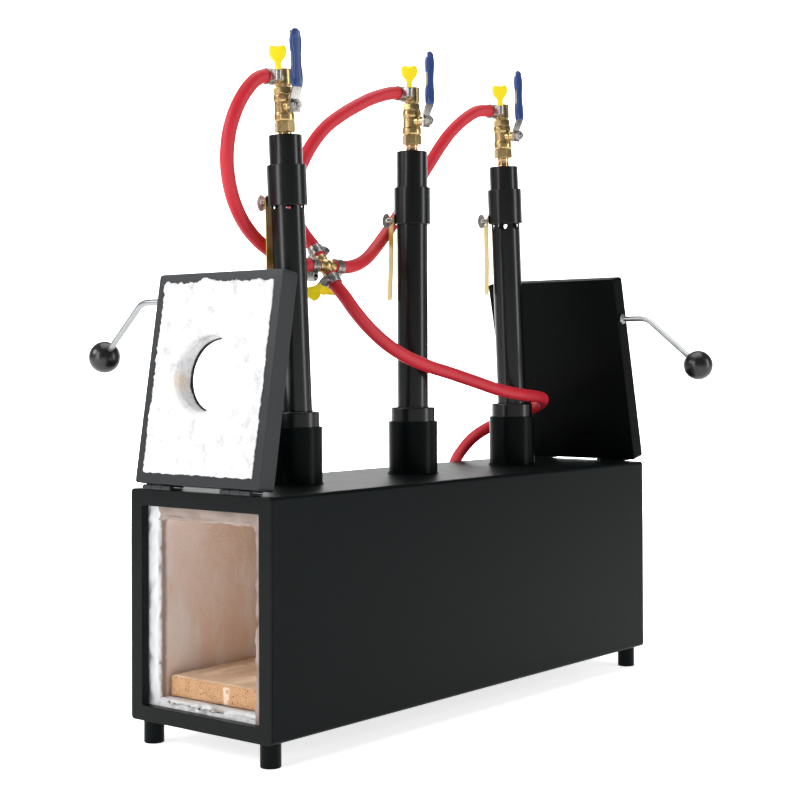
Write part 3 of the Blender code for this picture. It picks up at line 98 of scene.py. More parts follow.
FLARE_THROAT = 0.0170        # depth of the solid neck that holds the tube
TUBE_DIAMETER = 0.0374
TUBE_WALL = 0.0020
TUBE_LENGTHS = (0.3085, 0.3120, 0.3120)   # each tube above its flare
TUBE_CAP = 0.0040
AIR_HOLE_DIAMETER = 0.0120
AIR_HOLE_DROP = 0.0770       # from the tube's top to the holes' centres
AIR_HOLE_COUNT = 6
AIR_HOLE_TURNS = (231.0, 219.0, 203.0)   # degrees, first hole of each burner
CHOKE_CLEARANCE = 0.0004
CHOKE_WALL = 0.0031
CHOKE_LENGTH = 0.0450
CHOKE_DROPS = (0.0785, 0.0890, 0.0750)   # from the tube's top to each choke's bottom, as found
SCREW_RISE = 0.0046          # from the choke's bottom to its lock screw
SCREW_DIAMETER = 0.0050
SCREW_HUB_DIAMETER = 0.0080
SCREW_HUB = 0.0060
SCREW_STANDOFF = 0.0030      # from the tag to the hub
SCREW_WING_SPAN = 0.0185
SCREW_WING_REACH = 0.0100
SCREW_WING_THICKNESS = 0.0025
SCREW_TURNS = (112.0, 129.0, 124.0)
TAG_WIDTH = 0.0200
TAG_LENGTH = 0.1050
TAG_THICKNESS = 0.0010
TAG_TOP = 0.0075             # above the screw
NIPPLE_DIAMETER = 0.0150
NIPPLE_BORE = 0.0040
NIPPLE_LENGTH = 0.0370       # below the valve
NIPPLE_RISES = (0.0030, 0.0083, 0.0113)   # of each valve above its tube's top
HEX_FLATS = 0.0205
HEX_LOW = 0.0120
VALVE_BODY_DIAMETER = 0.0230
VALVE_BODY = 0.0300
HEX_TOP = 0.0080
STEM_SHARE = 0.53            # the stem's height, as a share of the body
TOP_HEX_FLATS = 0.0200
STEM_DIAMETER = 0.0056
BOSS_DIAMETER = 0.0110
BOSS_REACH = 0.0205          # from the valve's axis
LEVER_THICKNESS = 0.0025
LEVER_WIDTH = 0.0125
LEVER_CRANK = 0.0060
VALVE_TURNS = (-14.0, 0.0, 0.0)   # of the boss and lever round each tube, degrees
LEVER_TAIL = 0.0080          # below the stem
LEVER_STRAIGHT = 0.0070      # above the stem, before the crank
LEVER_LENGTH = 0.0815        # above the stem
NUT_FLATS = 0.0110
NUT = 0.0070
GRIP_WIDTH = 0.0148
GRIP_THICKNESS = 0.0058
GRIP_END = 0.0018            # vinyl past the lever's tip
ELBOW_DIAMETER = 0.0194
ELBOW_HEIGHT = 0.0205
BRANCH_DIAMETER = 0.0150
BRANCH_REACH = 0.0135        # from the elbow's axis to the hose
HOSE_DIAMETER = 0.0156
CROSS_CENTRE = Vector((-0.1530, 0.0100, 0.5230))
CROSS_REACH = 0.0130
CROSS_BODY = 0.0180
CROSS_ARM = 0.0150
CONNECTOR_FLATS = 0.0220
CONNECTOR_NUT = 0.0160
CONNECTOR_COLLAR = 0.0180
CONNECTOR_COLLAR_DIAMETER = 0.0180
CONNECTOR_BORE = 0.0120
CONNECTOR_BORE_DEPTH = 0.0120
BAND_WALL = 0.0009
BAND_WIDTH = 0.0110
BAND_FROM_PORT = 0.0085      # from the hose's end to the band's middle
HOUSING_ALONG_HOSE = 0.0095
HOUSING_ALONG_SCREW = 0.0110
HOUSING_DEPTH = 0.0085
HOUSING_OFFSET = 0.0140      # from the hose's axis to the screw's axis
NECK_DIAMETER = 0.0070
NECK = 0.0110
WING_WIDTH = 0.0200
WING_HEIGHT = 0.0160
WING_THICKNESS = 0.0040
WINGS_ACROSS = (0.63, -0.78, 0.0)   # the way the keys' wings were left lying
HEX = 6
HOSE_1_ROUTE = [
    (-0.275, 0.003, 0.7200), (-0.292, 0.007, 0.6980), (-0.302, 0.012, 0.6700), (-0.302, 0.018, 0.6430),
    (-0.295, 0.024, 0.6180), (-0.279, 0.031, 0.5900), (-0.254, 0.037, 0.5640), (-0.228, 0.038, 0.5455),
    (-0.212, 0.031, 0.5350), (-0.200, 0.0225, 0.5285), (-0.190, 0.015, 0.5245),
]
HOSE_2_ROUTE = [
    (-0.050, 0.001, 0.7345), (-0.074, 0.006, 0.7260), (-0.096, 0.012, 0.7145), (-0.116, 0.018, 0.7020),
    (-0.134, 0.025, 0.6870), (-0.148, 0.031, 0.6690), (-0.160, 0.037, 0.6460), (-0.168, 0.041, 0.6230),
    (-0.171, 0.043, 0.6000), (-0.168, 0.042, 0.5800), (-0.160, 0.037, 0.5620),
]
HOSE_3_ROUTE = [
    (-0.110, 0.011, 0.5240), (-0.086, 0.017, 0.5285), (-0.060, 0.026, 0.5370), (-0.034, 0.035, 0.5500),
    (-0.008, 0.041, 0.5680), (0.015, 0.043, 0.5890), (0.039, 0.042, 0.6160), (0.059, 0.039, 0.6430),
    (0.076, 0.034, 0.6670), (0.087, 0.028, 0.6860), (0.100, 0.020, 0.7060), (0.118, 0.011, 0.7245),
    (0.136, 0.004, 0.7360),
]
SUPPLY_ROUTE = [
    (-0.149, -0.016, 0.4880), (-0.140, -0.024, 0.4710), (-0.122, -0.031, 0.4510), (-0.098, -0.036, 0.4335),
    (-0.070, -0.039, 0.4200), (-0.030, -0.041, 0.4080), (0.019, -0.041, 0.3980), (0.070, -0.041, 0.3870),
    (0.126, -0.039, 0.3755), (0.183, -0.034, 0.3690), (0.226, -0.027, 0.3655), (0.258, -0.014, 0.3610),
    (0.276, 0.006, 0.3530), (0.275, 0.029, 0.3430), (0.260, 0.048, 0.3330), (0.242, 0.066, 0.3220),
    (0.232, 0.083, 0.3090), (0.232, 0.100, 0.2940), (0.236, 0.117, 0.2760), (0.239, 0.128, 0.2520),
    (0.240, 0.134, 0.2200), (0.240, 0.135, 0.1700), (0.237, 0.136, 0.1200), (0.227, 0.139, 0.0740),
    (0.204, 0.145, 0.0360), (0.170, 0.152, 0.0140), (0.130, 0.157, 0.0084), (0.080, 0.157, 0.0082),
    (0.030, 0.150, 0.0082), (-0.020, 0.143, 0.0082), (-0.070, 0.141, 0.0082), (-0.115, 0.143, 0.0084),
    (-0.150, 0.147, 0.0098),
]
CONNECTOR_START = Vector((-0.1900, 0.1500, 0.0117))
CONNECTOR_WAY = Vector((-1.0, 0.08, 0.0))
BOX_TOP = FOOT_HEIGHT + BOX_HEIGHT
END_X = BOX_LENGTH / 2
SIDE_Y = BOX_WIDTH / 2
AXIS_Z = BOX_TOP + AXIS_RISE
AXIS_X = END_X + GAP + RIM_OFFSET
SOCKET_TOP = BOX_TOP + SOCKET_HEIGHT
FLARE_TOP = SOCKET_TOP + FLARE_RISE
PIVOT_Z = FLARE_TOP
FLARE_RADIUS = SOCKET_DIAMETER / 2 - SOCKET_WALL - FLARE_CLEARANCE
TUBE_RADIUS = TUBE_DIAMETER / 2
CHOKE_RADIUS = TUBE_RADIUS + CHOKE_CLEARANCE + CHOKE_WALL
VALVE_TOP = HEX_LOW + VALVE_BODY + HEX_TOP
STEM_UP = HEX_LOW + STEM_SHARE * VALVE_BODY
BRANCH_UP = VALVE_TOP + ELBOW_HEIGHT / 2
INSIDE_END = END_X - SHEET - FRAME_RETURN - GAP
LINING_Y = SIDE_Y - SHEET - GAP
LINING_TOP = BOX_TOP - SHEET - GAP
FLOOR_Z = FOOT_HEIGHT + SHEET + GAP
CHAMBER_Y = LINING_Y - LINING
CHAMBER_TOP = LINING_TOP - LINING
BLANKET_TOP = FLOOR_Z + BLANKET
BRICK_Z = BLANKET_TOP + GAP
BRICK_TOP = BRICK_Z + BRICK_THICKNESS
CROSS_PORTS = [
    ("hose_1", Vector((-1.0, 0.0, 0.0)), Vector((0.0, 0.0, -1.0)), Vector((0.0, 1.0, 0.0))),
    ("hose_2", Vector((0.0, 0.6, 0.8)), Vector((1.0, 0.0, 0.0)), Vector((0.0, 0.8, -0.6))),
    ("hose_3", Vector((1.0, 0.0, 0.0)), Vector((0.0, 1.0, 0.0)), Vector((0.0, 0.0, -1.0))),
    ("supply_hose", Vector((0.0, -0.6, -0.8)), Vector((-1.0, 0.0, 0.0)), Vector((0.0, 0.8, -0.6))),
]

HOSE_FINE_STEP = 0.0060      # between the rings of a hose
HOSE_END_ROUND = 0.0006
CORNER_STEPS = 8             # pieces in each rounded corner of the sheet metal
SHARP_ANGLE = radians(35)
CLOSED_MIDDLE = 0.00002      # radius at the middle of a wool face without a port
CAMERA_PLACE = (-1.51701, -1.21579, 0.41110)
CAMERA_TURN = 0.68487133
CAMERA_TILT = 0.00988224
CAMERA_ROLL = -0.003637
CAMERA_LENS = 71.445
CAMERA_SHIFT = -0.06615
SKY_LIGHT = 0.16             # the sky's strength as a light
SKY_SHOWN = 1.0              # and where the camera looks past the floor
FLOOR_HALF_WIDTH = 14.0
FLOOR_NEAR = -10.0           # along the view, from the forge
FLOOR_FAR = 6.0              # where it starts to sweep up
FLOOR_SWEEP = 5.0
FLOOR_GLOW = 0.74
TAG_TWISTS = (0.0, 15.0, 17.0)   # of each tag below its screw, degrees


def mesh_data(name, shape):
    """The mesh of a bmesh, which is freed."""
    data = bpy.data.meshes.new(name)
    shape.to_mesh(data)
    shape.free()
    return data


def in_scene(name, data):
    """A new object in the scene."""
    made = bpy.data.objects.new(name, data)
    bpy.context.scene.collection.objects.link(made)
    return made


def as_evaluated(made):
    """What an object's modifiers make of it, as a plain mesh."""
    graph = bpy.context.evaluated_depsgraph_get()
    return bpy.data.meshes.new_from_object(made.evaluated_get(graph))


def held(value):
    """A number held between 0 and 1."""
    return min(1.0, max(0.0, value))


def signed_power(value, power):
    """A power of a number's size, with the number's sign."""
    return abs(value) ** power * (1 if value > 0 else -1)


def between_rows(table, share):
    """The two rows of a table that a share lies between, and how far along it is between them."""
    for first, last in zip(table, table[1:]):
        if first[0] <= share <= last[0]:
            found = first, last, (share - first[0]) / (last[0] - first[0])
    return found


def add_box(mesh, low, high, bevel=0.0, segments=1):
    """A box between two corners, with its edges rounded if asked."""
    centre = [(a + b) / 2 for a, b in zip(low, high)]
    size = [b - a for a, b in zip(low, high)]
    placing = Matrix.Translation(centre) @ Matrix.Diagonal((*size, 1.0))
    made = bmesh.ops.create_cube(mesh, size=1.0, matrix=placing)
    if bevel > 0.0:
        edges = {edge for vert in made["verts"] for edge in vert.link_edges}
        bmesh.ops.bevel(mesh, geom=list(edges), offset=bevel, segments=segments, affect="EDGES", profile=0.5)


def add_lathe(mesh, profile, sides, placing):
    """Turns a closed outline of (radius, height) points round Z; flat ends become single faces."""
    angles = [2 * pi * i / sides for i in range(sides)]
    rings = []
    for radius, height in profile:
        if radius == 0.0:
            rings.append([])
        else:
            spots = [Vector((radius * cos(a), radius * sin(a), height)) for a in angles]
            rings.append([mesh.verts.new(placing @ spot) for spot in spots])
    for first, second in zip(rings, rings[1:] + rings[:1]):
        if not first and not second:
            continue
        if not first or not second:
            mesh.faces.new(first or second)
            continue
        for i in range(sides):
            j = (i + 1) % sides
            mesh.faces.new((first[i], first[j], second[j], second[i]))


def ring_outline(inner, outer, low, high):
    """The outline of a plain ring, or of a disc where the inner radius is 0."""
    return [(inner, low), (outer, low), (outer, high), (inner, high)]


def add_rod(mesh, radius, low, high, sides, placing):
    """A plain solid cylinder."""
    add_lathe(mesh, ring_outline(0.0, radius, low, high), sides, placing)


def add_prism(mesh, outline, low, high, placing):
    """Extrudes a closed outline of (x, y) points from one height to another."""
    bottom = [mesh.verts.new(placing @ Vector((x, y, low))) for x, y in outline]
    top = [mesh.verts.new(placing @ Vector((x, y, high))) for x, y in outline]
    mesh.faces.new(list(reversed(bottom)))
    mesh.faces.new(top)
    for i in range(len(outline)):
        j = (i + 1) % len(outline)
        mesh.faces.new((bottom[i], bottom[j], top[j], top[i]))


def rounded_rectangle(low, high, radius, steps):
    """The outline of a rectangle with rounded corners, counter-clockwise."""
    corners = [(high[0] - radius, high[1] - radius, 0), (low[0] + radius, high[1] - radius, 1),
               (low[0] + radius, low[1] + radius, 2), (high[0] - radius, low[1] + radius, 3)]
    outline = []
    for x, y, quarter in corners:
        for i in range(steps + 1):
            angle = (quarter + i / steps) * pi / 2
            outline.append((x + radius * cos(angle), y + radius * sin(angle)))
    return outline


def box_outline(inset):
    """The outline across the box, or the one that runs inside it."""
    return rounded_rectangle((-SIDE_Y + inset, FOOT_HEIGHT + inset), (SIDE_Y - inset, BOX_TOP - inset),
                             CORNER - inset, CORNER_STEPS)


def frame_along(origin, direction, side=None):
    """A placing whose +Z is the direction and whose +X is as near as can be to the side."""
    z = Vector(direction).normalized()
    side = Vector(side) if side is not None else (Vector((0, 0, 1)) if abs(z.z) < 0.9 else Vector((1, 0, 0)))
    x = (side - side.dot(z) * z).normalized()
    y = z.cross(x)
    turn = Matrix((x, y, z)).transposed().to_4x4()
    return Matrix.Translation(origin) @ turn


def lifted(place, height):
    """A placing moved up along its own Z."""
    return place @ Matrix.Translation((0.0, 0.0, height))


def burner_x(index):
    """The place of a burner along the box."""
    return ROW_SHIFT + (index - 1) * BURNER_PITCH


def over_burner(index, height=0.0):
    """An upright placing on a burner's line through the roof."""
    return Matrix.Translation((burner_x(index), 0.0, height))


def branch_frame(index):
    """The placing of an elbow's branch in the world, +Z along the hose's first stretch."""
    up = valve_seat(index) + BRANCH_UP
    return burner_tilt(index) @ frame_along((0.0, 0.0, up), (-1.0, 0.0, 0.0), (0.0, -1.0, 0.0))


def clamp_frames():
    """The placing of every clamp: three on the elbows, then four on the cross."""
    frames = []
    for index in range(BURNER_COUNT):
        frames.append(lifted(branch_frame(index), BRANCH_REACH + BAND_FROM_PORT))
    for _, way, side, _ in CROSS_PORTS:
        frames.append(frame_along(CROSS_CENTRE + way * (CROSS_REACH + BAND_FROM_PORT), way, side))
    return frames


def smooth_route(points, step):
    """Points at even steps along one smooth curve; its first and last stretches stay straight."""
    dense = []
    for a, b, c, d in zip(points, points[1:], points[2:], points[3:]):
        t1 = (b - a).length ** 0.5
        t2 = t1 + (c - b).length ** 0.5
        t3 = t2 + (d - c).length ** 0.5
        for i in range(24):
            t = t1 + (t2 - t1) * i / 24
            ab = a * (t1 - t) / t1 + b * t / t1
            bc = b * (t2 - t) / (t2 - t1) + c * (t - t1) / (t2 - t1)
            cd = c * (t3 - t) / (t3 - t2) + d * (t - t2) / (t3 - t2)
            abc = ab * (t2 - t) / t2 + bc * t / t2
            bcd = bc * (t3 - t) / (t3 - t1) + cd * (t - t1) / (t3 - t1)
            dense.append(abc * (t2 - t) / (t2 - t1) + bcd * (t - t1) / (t2 - t1))
    dense.append(points[-2])
    lengths = [0.0]
    for a, b in zip(dense, dense[1:]):
        lengths.append(lengths[-1] + (b - a).length)
    count = max(2, round(lengths[-1] / step))
    even = [points[0]]
    at = 0
    for i in range(count + 1):
        want = lengths[-1] * i / count
        while at < len(lengths) - 2 and lengths[at + 1] < want:
            at += 1
        share = (want - lengths[at]) / (lengths[at + 1] - lengths[at])
        even.append(dense[at].lerp(dense[at + 1], share))
    even.append(points[-1])
    total = lengths[-1] + (points[1] - points[0]).length + (points[-1] - points[-2]).length
    return even, total


def straight(place, reach, length):
    """The two ends of the straight stretch where a hose leaves a fitting."""
    return [place @ Vector((0.0, 0.0, reach)), place @ Vector((0.0, 0.0, reach + length))]


def leaf_length(lean):
    """How long a leaf can be, so that the open door comes to rest on the box's leaf."""
    under_door = DOOR_EDGE_OFFSET - LEAF
    over_leaf = KNUCKLE_DIAMETER / 2 - LEAF
    return (under_door * cos(lean) + over_leaf - GAP) / sin(lean)


def burner_tilt(index):
    """The placing of a burner's own frame, whose +Z runs up its leaning tube."""
    lean = Matrix.Rotation(radians(BURNER_LEANS[index]), 4, "Y")
    return over_burner(index, PIVOT_Z) @ lean


def valve_seat(index):
    """How far a burner's valve stands above its pivot, along the tube."""
    return TUBE_LENGTHS[index] + NIPPLE_RISES[index]


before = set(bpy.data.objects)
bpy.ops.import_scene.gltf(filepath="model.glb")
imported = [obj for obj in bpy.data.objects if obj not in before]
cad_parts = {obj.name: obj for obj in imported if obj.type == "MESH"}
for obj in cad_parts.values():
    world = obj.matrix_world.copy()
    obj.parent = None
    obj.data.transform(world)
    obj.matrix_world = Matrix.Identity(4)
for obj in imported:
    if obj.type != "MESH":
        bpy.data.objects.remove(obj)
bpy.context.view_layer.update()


class Value:
    """One output in a finish's nodes. Ordinary arithmetic on it adds Math nodes."""

    def __init__(self, finish, output):
        self.finish = finish
        self.output = output

    def maths(self, operation, *numbers):
        return self.finish.node("ShaderNodeMath", {"operation": operation}, dict(enumerate(numbers)))

    def __add__(self, other):
        return self.maths("ADD", self, other)

    def __sub__(self, other):
        return self.maths("SUBTRACT", self, other)

    def __rsub__(self, other):
        return self.maths("SUBTRACT", other, self)

    def __mul__(self, other):
        return self.maths("MULTIPLY", self, other)

    def __abs__(self):
        return self.maths("ABSOLUTE", self)

    __radd__ = __add__
    __rmul__ = __mul__

    def rise(self, low, high):
        """0 below low, 1 above high, and a soft step between."""
        settings = {"interpolation_type": "SMOOTHSTEP"}
        return self.finish.node("ShaderNodeMapRange", settings,
                                {"Value": self, "From Min": low, "From Max": high})


class Finish:
    """A procedural finish of one of the forge's surfaces."""

    def __init__(self, name, slot, constants):
        self.material = bpy.data.materials.new(name)
        self.material.use_nodes = True
        self.material["slot"] = slot
        self.tree = self.material.node_tree
        self.shader = self.tree.nodes["Principled BSDF"]
        for socket, value in constants.items():
            self.set(socket, value)
        self.place = self.node("ShaderNodeTexCoord", {}, {}, "Object")

    def node(self, kind, settings, values, output=0):
        made = self.tree.nodes.new(kind)
        for name, value in settings.items():
            setattr(made, name, value)
        for socket, value in values.items():
            self.join(made.inputs[socket], value)
        return Value(self, made.outputs[output])

    def join(self, socket, value):
        if isinstance(value, Value):
            self.tree.links.new(value.output, socket)
        elif isinstance(value, tuple) and len(value) == 3 and socket.type == "RGBA":
            socket.default_value = (*value, 1.0)
        else:
            socket.default_value = value

    def set(self, socket, value):
        self.join(self.shader.inputs[socket], value)

    def stretched(self, x, y, z):
        """The object's coordinates, drawn out or squeezed along each axis."""
        return self.node("ShaderNodeMapping", {}, {"Vector": self.place, "Scale": (x, y, z)})

    def clouds(self, size, detail=3.0, roughness=0.5, place=None):
        values = {"Vector": place or self.place, "Scale": 1.0 / size, "Detail": detail,
                  "Roughness": roughness}
        return self.node("ShaderNodeTexNoise", {}, values)

    def grains(self, size):
        """Distance to the nearest of many scattered points, as a share of their spacing."""
        return self.node("ShaderNodeTexVoronoi", {}, {"Vector": self.place, "Scale": 1.0 / size})

    def blend(self, share, first, second):
        return self.node("ShaderNodeMix", {"data_type": "RGBA"}, {0: share, 6: first, 7: second}, 2)

    def axis(self, name):
        return self.node("ShaderNodeSeparateXYZ", {}, {0: self.place}, name)

    def relief(self, height, distance, strength):
        """Small relief of the surface, in metres at a height of 1."""
        values = {"Height": height, "Distance": distance, "Strength": strength}
        self.set("Normal", self.node("ShaderNodeBump", {}, values))


def powder_coat(name, colour, roughness, gloss, top_haze=0.0, grain=0.25):
    coat = Finish(name, "black_steel", {"Metallic": 0.0, "Specular IOR Level": gloss})
    wear = coat.clouds(0.060, 4.0)
    coat.set("Base Color", coat.blend(wear, tuple(0.9 * c for c in colour), tuple(1.1 * c for c in colour)))
    below = coat.axis("Z").rise(BOX_TOP - 0.0004, BOX_TOP)
    flat_top = below * (1.0 - coat.axis("Z").rise(BOX_TOP, BOX_TOP + 0.0006))
    coat.set("Roughness", roughness - 0.03 + 0.06 * coat.clouds(0.018, 4.0) + top_haze * flat_top)
    coat.relief(coat.clouds(0.0011, 2.0), 0.00002, grain)
    return coat.material


def dark_hinge_steel():
    steel = Finish("dark_hinge_steel", "hinge_steel", {"Metallic": 0.85})
    steel.set("Base Color", steel.blend(steel.clouds(0.006), (0.022, 0.023, 0.025), (0.065, 0.065, 0.066)))
    steel.set("Roughness", 0.40 + 0.25 * steel.clouds(0.004))
    return steel.material


def zinc_plate(name, slot, colour, low, spread):
    zinc = Finish(name, slot, {"Metallic": 1.0})
    zinc.set("Base Color", zinc.blend(zinc.clouds(0.004, 4.0), tuple(0.82 * c for c in colour), colour))
    zinc.set("Roughness", low + spread * zinc.clouds(0.003, 4.0))
    zinc.relief(zinc.clouds(0.0012), 0.00004, 0.5)
    return zinc.material


def cast_brass():
    brass = Finish("cast_brass", "brass", {"Metallic": 1.0})
    tone = brass.clouds(0.007, 4.0, 0.6)
    brass.set("Base Color", brass.blend(tone, (0.37, 0.265, 0.105), (0.67, 0.50, 0.24)))
    brass.set("Roughness", 0.20 + 0.22 * brass.clouds(0.0035, 3.0))
    brass.relief(brass.clouds(0.0009, 3.0), 0.00006, 0.5)
    return brass.material


def copper_brass():
    nipple = Finish("turned_brass", "brass", {"Metallic": 1.0, "Base Color": (0.72, 0.48, 0.25)})
    nipple.set("Roughness", 0.16 + 0.14 * nipple.clouds(0.003))
    return nipple.material


def red_rubber():
    rubber = Finish("red_rubber", "red_hose", {"Metallic": 0.0, "Specular IOR Level": 0.38})
    tone = rubber.clouds(0.030, 3.0)
    rubber.set("Base Color", rubber.blend(tone, (0.48, 0.011, 0.024), (0.60, 0.019, 0.034)))
    rubber.set("Roughness", 0.42 + 0.12 * rubber.clouds(0.010, 3.0))
    rubber.relief(rubber.clouds(0.0014, 3.0), 0.00008, 0.5)
    return rubber.material


def white_fibre():
    """Ceramic wool with painted shade in grey marks over its lumps, and a scorched patch low on the rim of
    the port.
    """
    wool = Finish("white_wool", "white_wool", {"Roughness": 0.95, "Specular IOR Level": 0.15})
    # painted shade: grey marks stand for the shading of the wool's lumps; they are left off the floor wool
    # low down
    soft = wool.clouds(0.016, 5.0, 0.6)
    unshaded_low = 1.0 - wool.axis("Z").rise(0.20, 0.26)
    shade = wool.blend(soft.rise(0.27, 0.52) + unshaded_low, (0.61, 0.615, 0.635), (0.82, 0.82, 0.825))
    values = {"Vector": wool.place, "Location": (0.3440, -0.0458, -0.3915)}
    near = wool.node("ShaderNodeMapping", {}, values)
    away = wool.node("ShaderNodeVectorMath", {"operation": "LENGTH"}, {0: near}, "Value")
    stain = (1.0 - away.rise(0.004, 0.017)) * 0.55
    wool.set("Base Color", wool.blend(stain, shade, (0.84, 0.66, 0.50)))
    height = wool.clouds(0.0030, 5.0, 0.65) + 0.5 * wool.clouds(0.0008, 3.0)
    wool.relief(height, 0.0018, 0.75)
    return wool.material


def coated_wool():
    """Wool brushed with a pinkish-tan coating in upright streaks, darkened by painted shade just inside its
    cut ends, which are bare and white.
    """
    wool = Finish("coated_wool", "coated_wool", {"Roughness": 0.88, "Specular IOR Level": 0.2})
    brushed = wool.clouds(0.030, 5.0, 0.62, wool.stretched(1.0, 1.0, 0.30))
    cloudy = wool.clouds(0.070, 4.0, 0.5, wool.stretched(0.8, 1.0, 0.55))
    tan = wool.blend(cloudy.rise(0.34, 0.62), (0.86, 0.60, 0.44), (0.87, 0.72, 0.62))
    pale = wool.blend(brushed.rise(0.45, 0.64), tan, (0.90, 0.82, 0.76))
    # the coating is greyer near the mouth and warmer low down and farther in
    mouth = 1.0 - wool.axis("X").rise(-0.34, -0.20)
    high = wool.axis("Z").rise(0.07, 0.22)
    greyer = (mouth * (0.45 + 0.55 * high)) * (0.6 + 0.4 * wool.clouds(0.050))
    grey = wool.blend(0.85 * greyer, pale, (0.80, 0.74, 0.72))
    along = abs(wool.axis("X")) + 0.0014 * wool.clouds(0.005, 4.0)
    end = along.rise(INSIDE_END - 0.0052, INSIDE_END - 0.0036)
    # painted shade: the lining darkens to a dull brown just inside each cut end
    shaded = along.rise(INSIDE_END - 0.0130, INSIDE_END - 0.0070)
    dim = wool.blend(0.85 * shaded, grey, (0.28, 0.21, 0.175))
    bare = end * wool.axis("Y").rise(CHAMBER_Y - 0.0010, CHAMBER_Y + 0.0006)
    wool.set("Base Color", wool.blend(bare, dim, (0.76, 0.77, 0.79)))
    wool.relief(wool.clouds(0.004, 5.0, 0.6) + 0.6 * brushed, 0.0009, 0.5)
    return wool.material


def fire_brick():
    """Soft orange-tan brick, speckled with dark pores, with a pale smear on its top."""
    brick = Finish("fire_brick", "fire_brick", {"Roughness": 0.92, "Specular IOR Level": 0.2})
    tone = brick.clouds(0.012, 5.0, 0.6)
    body = brick.blend(tone, (0.50, 0.265, 0.13), (0.64, 0.405, 0.23))
    pores = 1.0 - brick.grains(0.0033).rise(0.17, 0.29)
    flecks = 1.0 - brick.grains(0.0021).rise(0.20, 0.36)
    speckled = brick.blend(pores * brick.clouds(0.010).rise(0.36, 0.52), body, (0.24, 0.12, 0.06))
    speckled = brick.blend(0.70 * flecks, speckled, (0.38, 0.19, 0.08))
    smear = brick.clouds(0.045, 4.0, 0.55, brick.stretched(0.5, 1.4, 1.0)).rise(0.38, 0.62)
    top = brick.axis("Z").rise(BRICK_TOP - 0.0022, BRICK_TOP - 0.0006)
    cover = top * (0.45 + 0.55 * smear)
    near = abs(brick.axis("Y") + 0.0160 + 0.002 * brick.clouds(0.006))
    drip = (1.0 - near.rise(0.0030, 0.0056)) * (1.0 - brick.axis("X").rise(-0.3395, -0.3375))
    drip = drip * (1.0 - brick.axis("Z").rise(0.0690, 0.0725)) * brick.clouds(0.006, 4.0).rise(0.36, 0.46)
    pale = brick.blend(cover, speckled, (1.0, 0.80, 0.61))
    brick.set("Base Color", brick.blend(0.70 * drip, pale, (0.88, 0.74, 0.60)))
    brick.relief(brick.clouds(0.0022, 5.0, 0.65) - 0.8 * pores, 0.0009, 0.6)
    return brick.material


def moulded(name, slot, colour, roughness, coat):
    plastic = Finish(name, slot, {"Metallic": 0.0, "Coat Weight": coat, "Coat Roughness": 0.06})
    plastic.set("Base Color", plastic.blend(plastic.clouds(0.012), tuple(0.93 * c for c in colour), colour))
    plastic.set("Roughness", roughness + 0.06 * plastic.clouds(0.005, 3.0))
    plastic.relief(plastic.clouds(0.0015), 0.00003, 0.4)
    return plastic.material


def stamped_tag():
    """A blank ochre plate, a little scuffed."""
    tag = Finish("ochre_tag", "tag_plate", {"Metallic": 0.15})
    scuffs = tag.clouds(0.006, 5.0, 0.65, tag.stretched(1.0, 1.0, 0.35)).rise(0.55, 0.75)
    tag.set("Base Color", tag.blend(0.6 * scuffs, (0.50, 0.33, 0.035), (0.68, 0.52, 0.18)))
    tag.set("Roughness", 0.32 + 0.2 * tag.clouds(0.008))
    return tag.material


COAT = powder_coat("black_powder_coat", (0.0040, 0.0056, 0.0058), 0.32, 0.11)
# the box's coat is darker than the frames' black coat: painted shade, for the box's sides
SHADED_BOX_COAT = powder_coat("black_box_coat_painted_shade", (0.0022, 0.0042, 0.0044), 0.31, 0.065, 0.12)
# the front door's coat is a lighter grey: painted light, for the light its rim and flange catch
LIT_DOOR_COAT = powder_coat("door_coat_painted_light", (0.037, 0.039, 0.042), 0.38, 0.12)
# the rear door's coat is darker than the rest: painted shade, for the far door turned from the light
SHADED_REAR_COAT = powder_coat("matt_door_coat_painted_shade", (0.0022, 0.0028, 0.0030), 0.45, 0.04)
TUBE_COAT = powder_coat("black_tube_coat", (0.0024, 0.0033, 0.0033), 0.26, 0.40, grain=0.06)
HINGE = dark_hinge_steel()
ZINC = zinc_plate("zinc_plate", "zinc", (0.43, 0.42, 0.40), 0.18, 0.20)
ROD_ZINC = zinc_plate("bright_rod", "bright_rod", (0.40, 0.41, 0.42), 0.26, 0.12)
BRASS = cast_brass()
NIPPLE_BRASS = copper_brass()
RUBBER = red_rubber()
WOOL = white_fibre()
COATED = coated_wool()
BRICK = fire_brick()
KNOB_BLACK = moulded("black_knob", "black_knob", (0.006, 0.006, 0.006), 0.28, 0.12)
VINYL = moulded("blue_vinyl", "blue_vinyl", (0.010, 0.042, 0.19), 0.26, 0.15)
YELLOW = moulded("yellow_plastic", "yellow_plastic", (0.96, 0.77, 0.012), 0.26, 0.2)
TAG = stamped_tag()


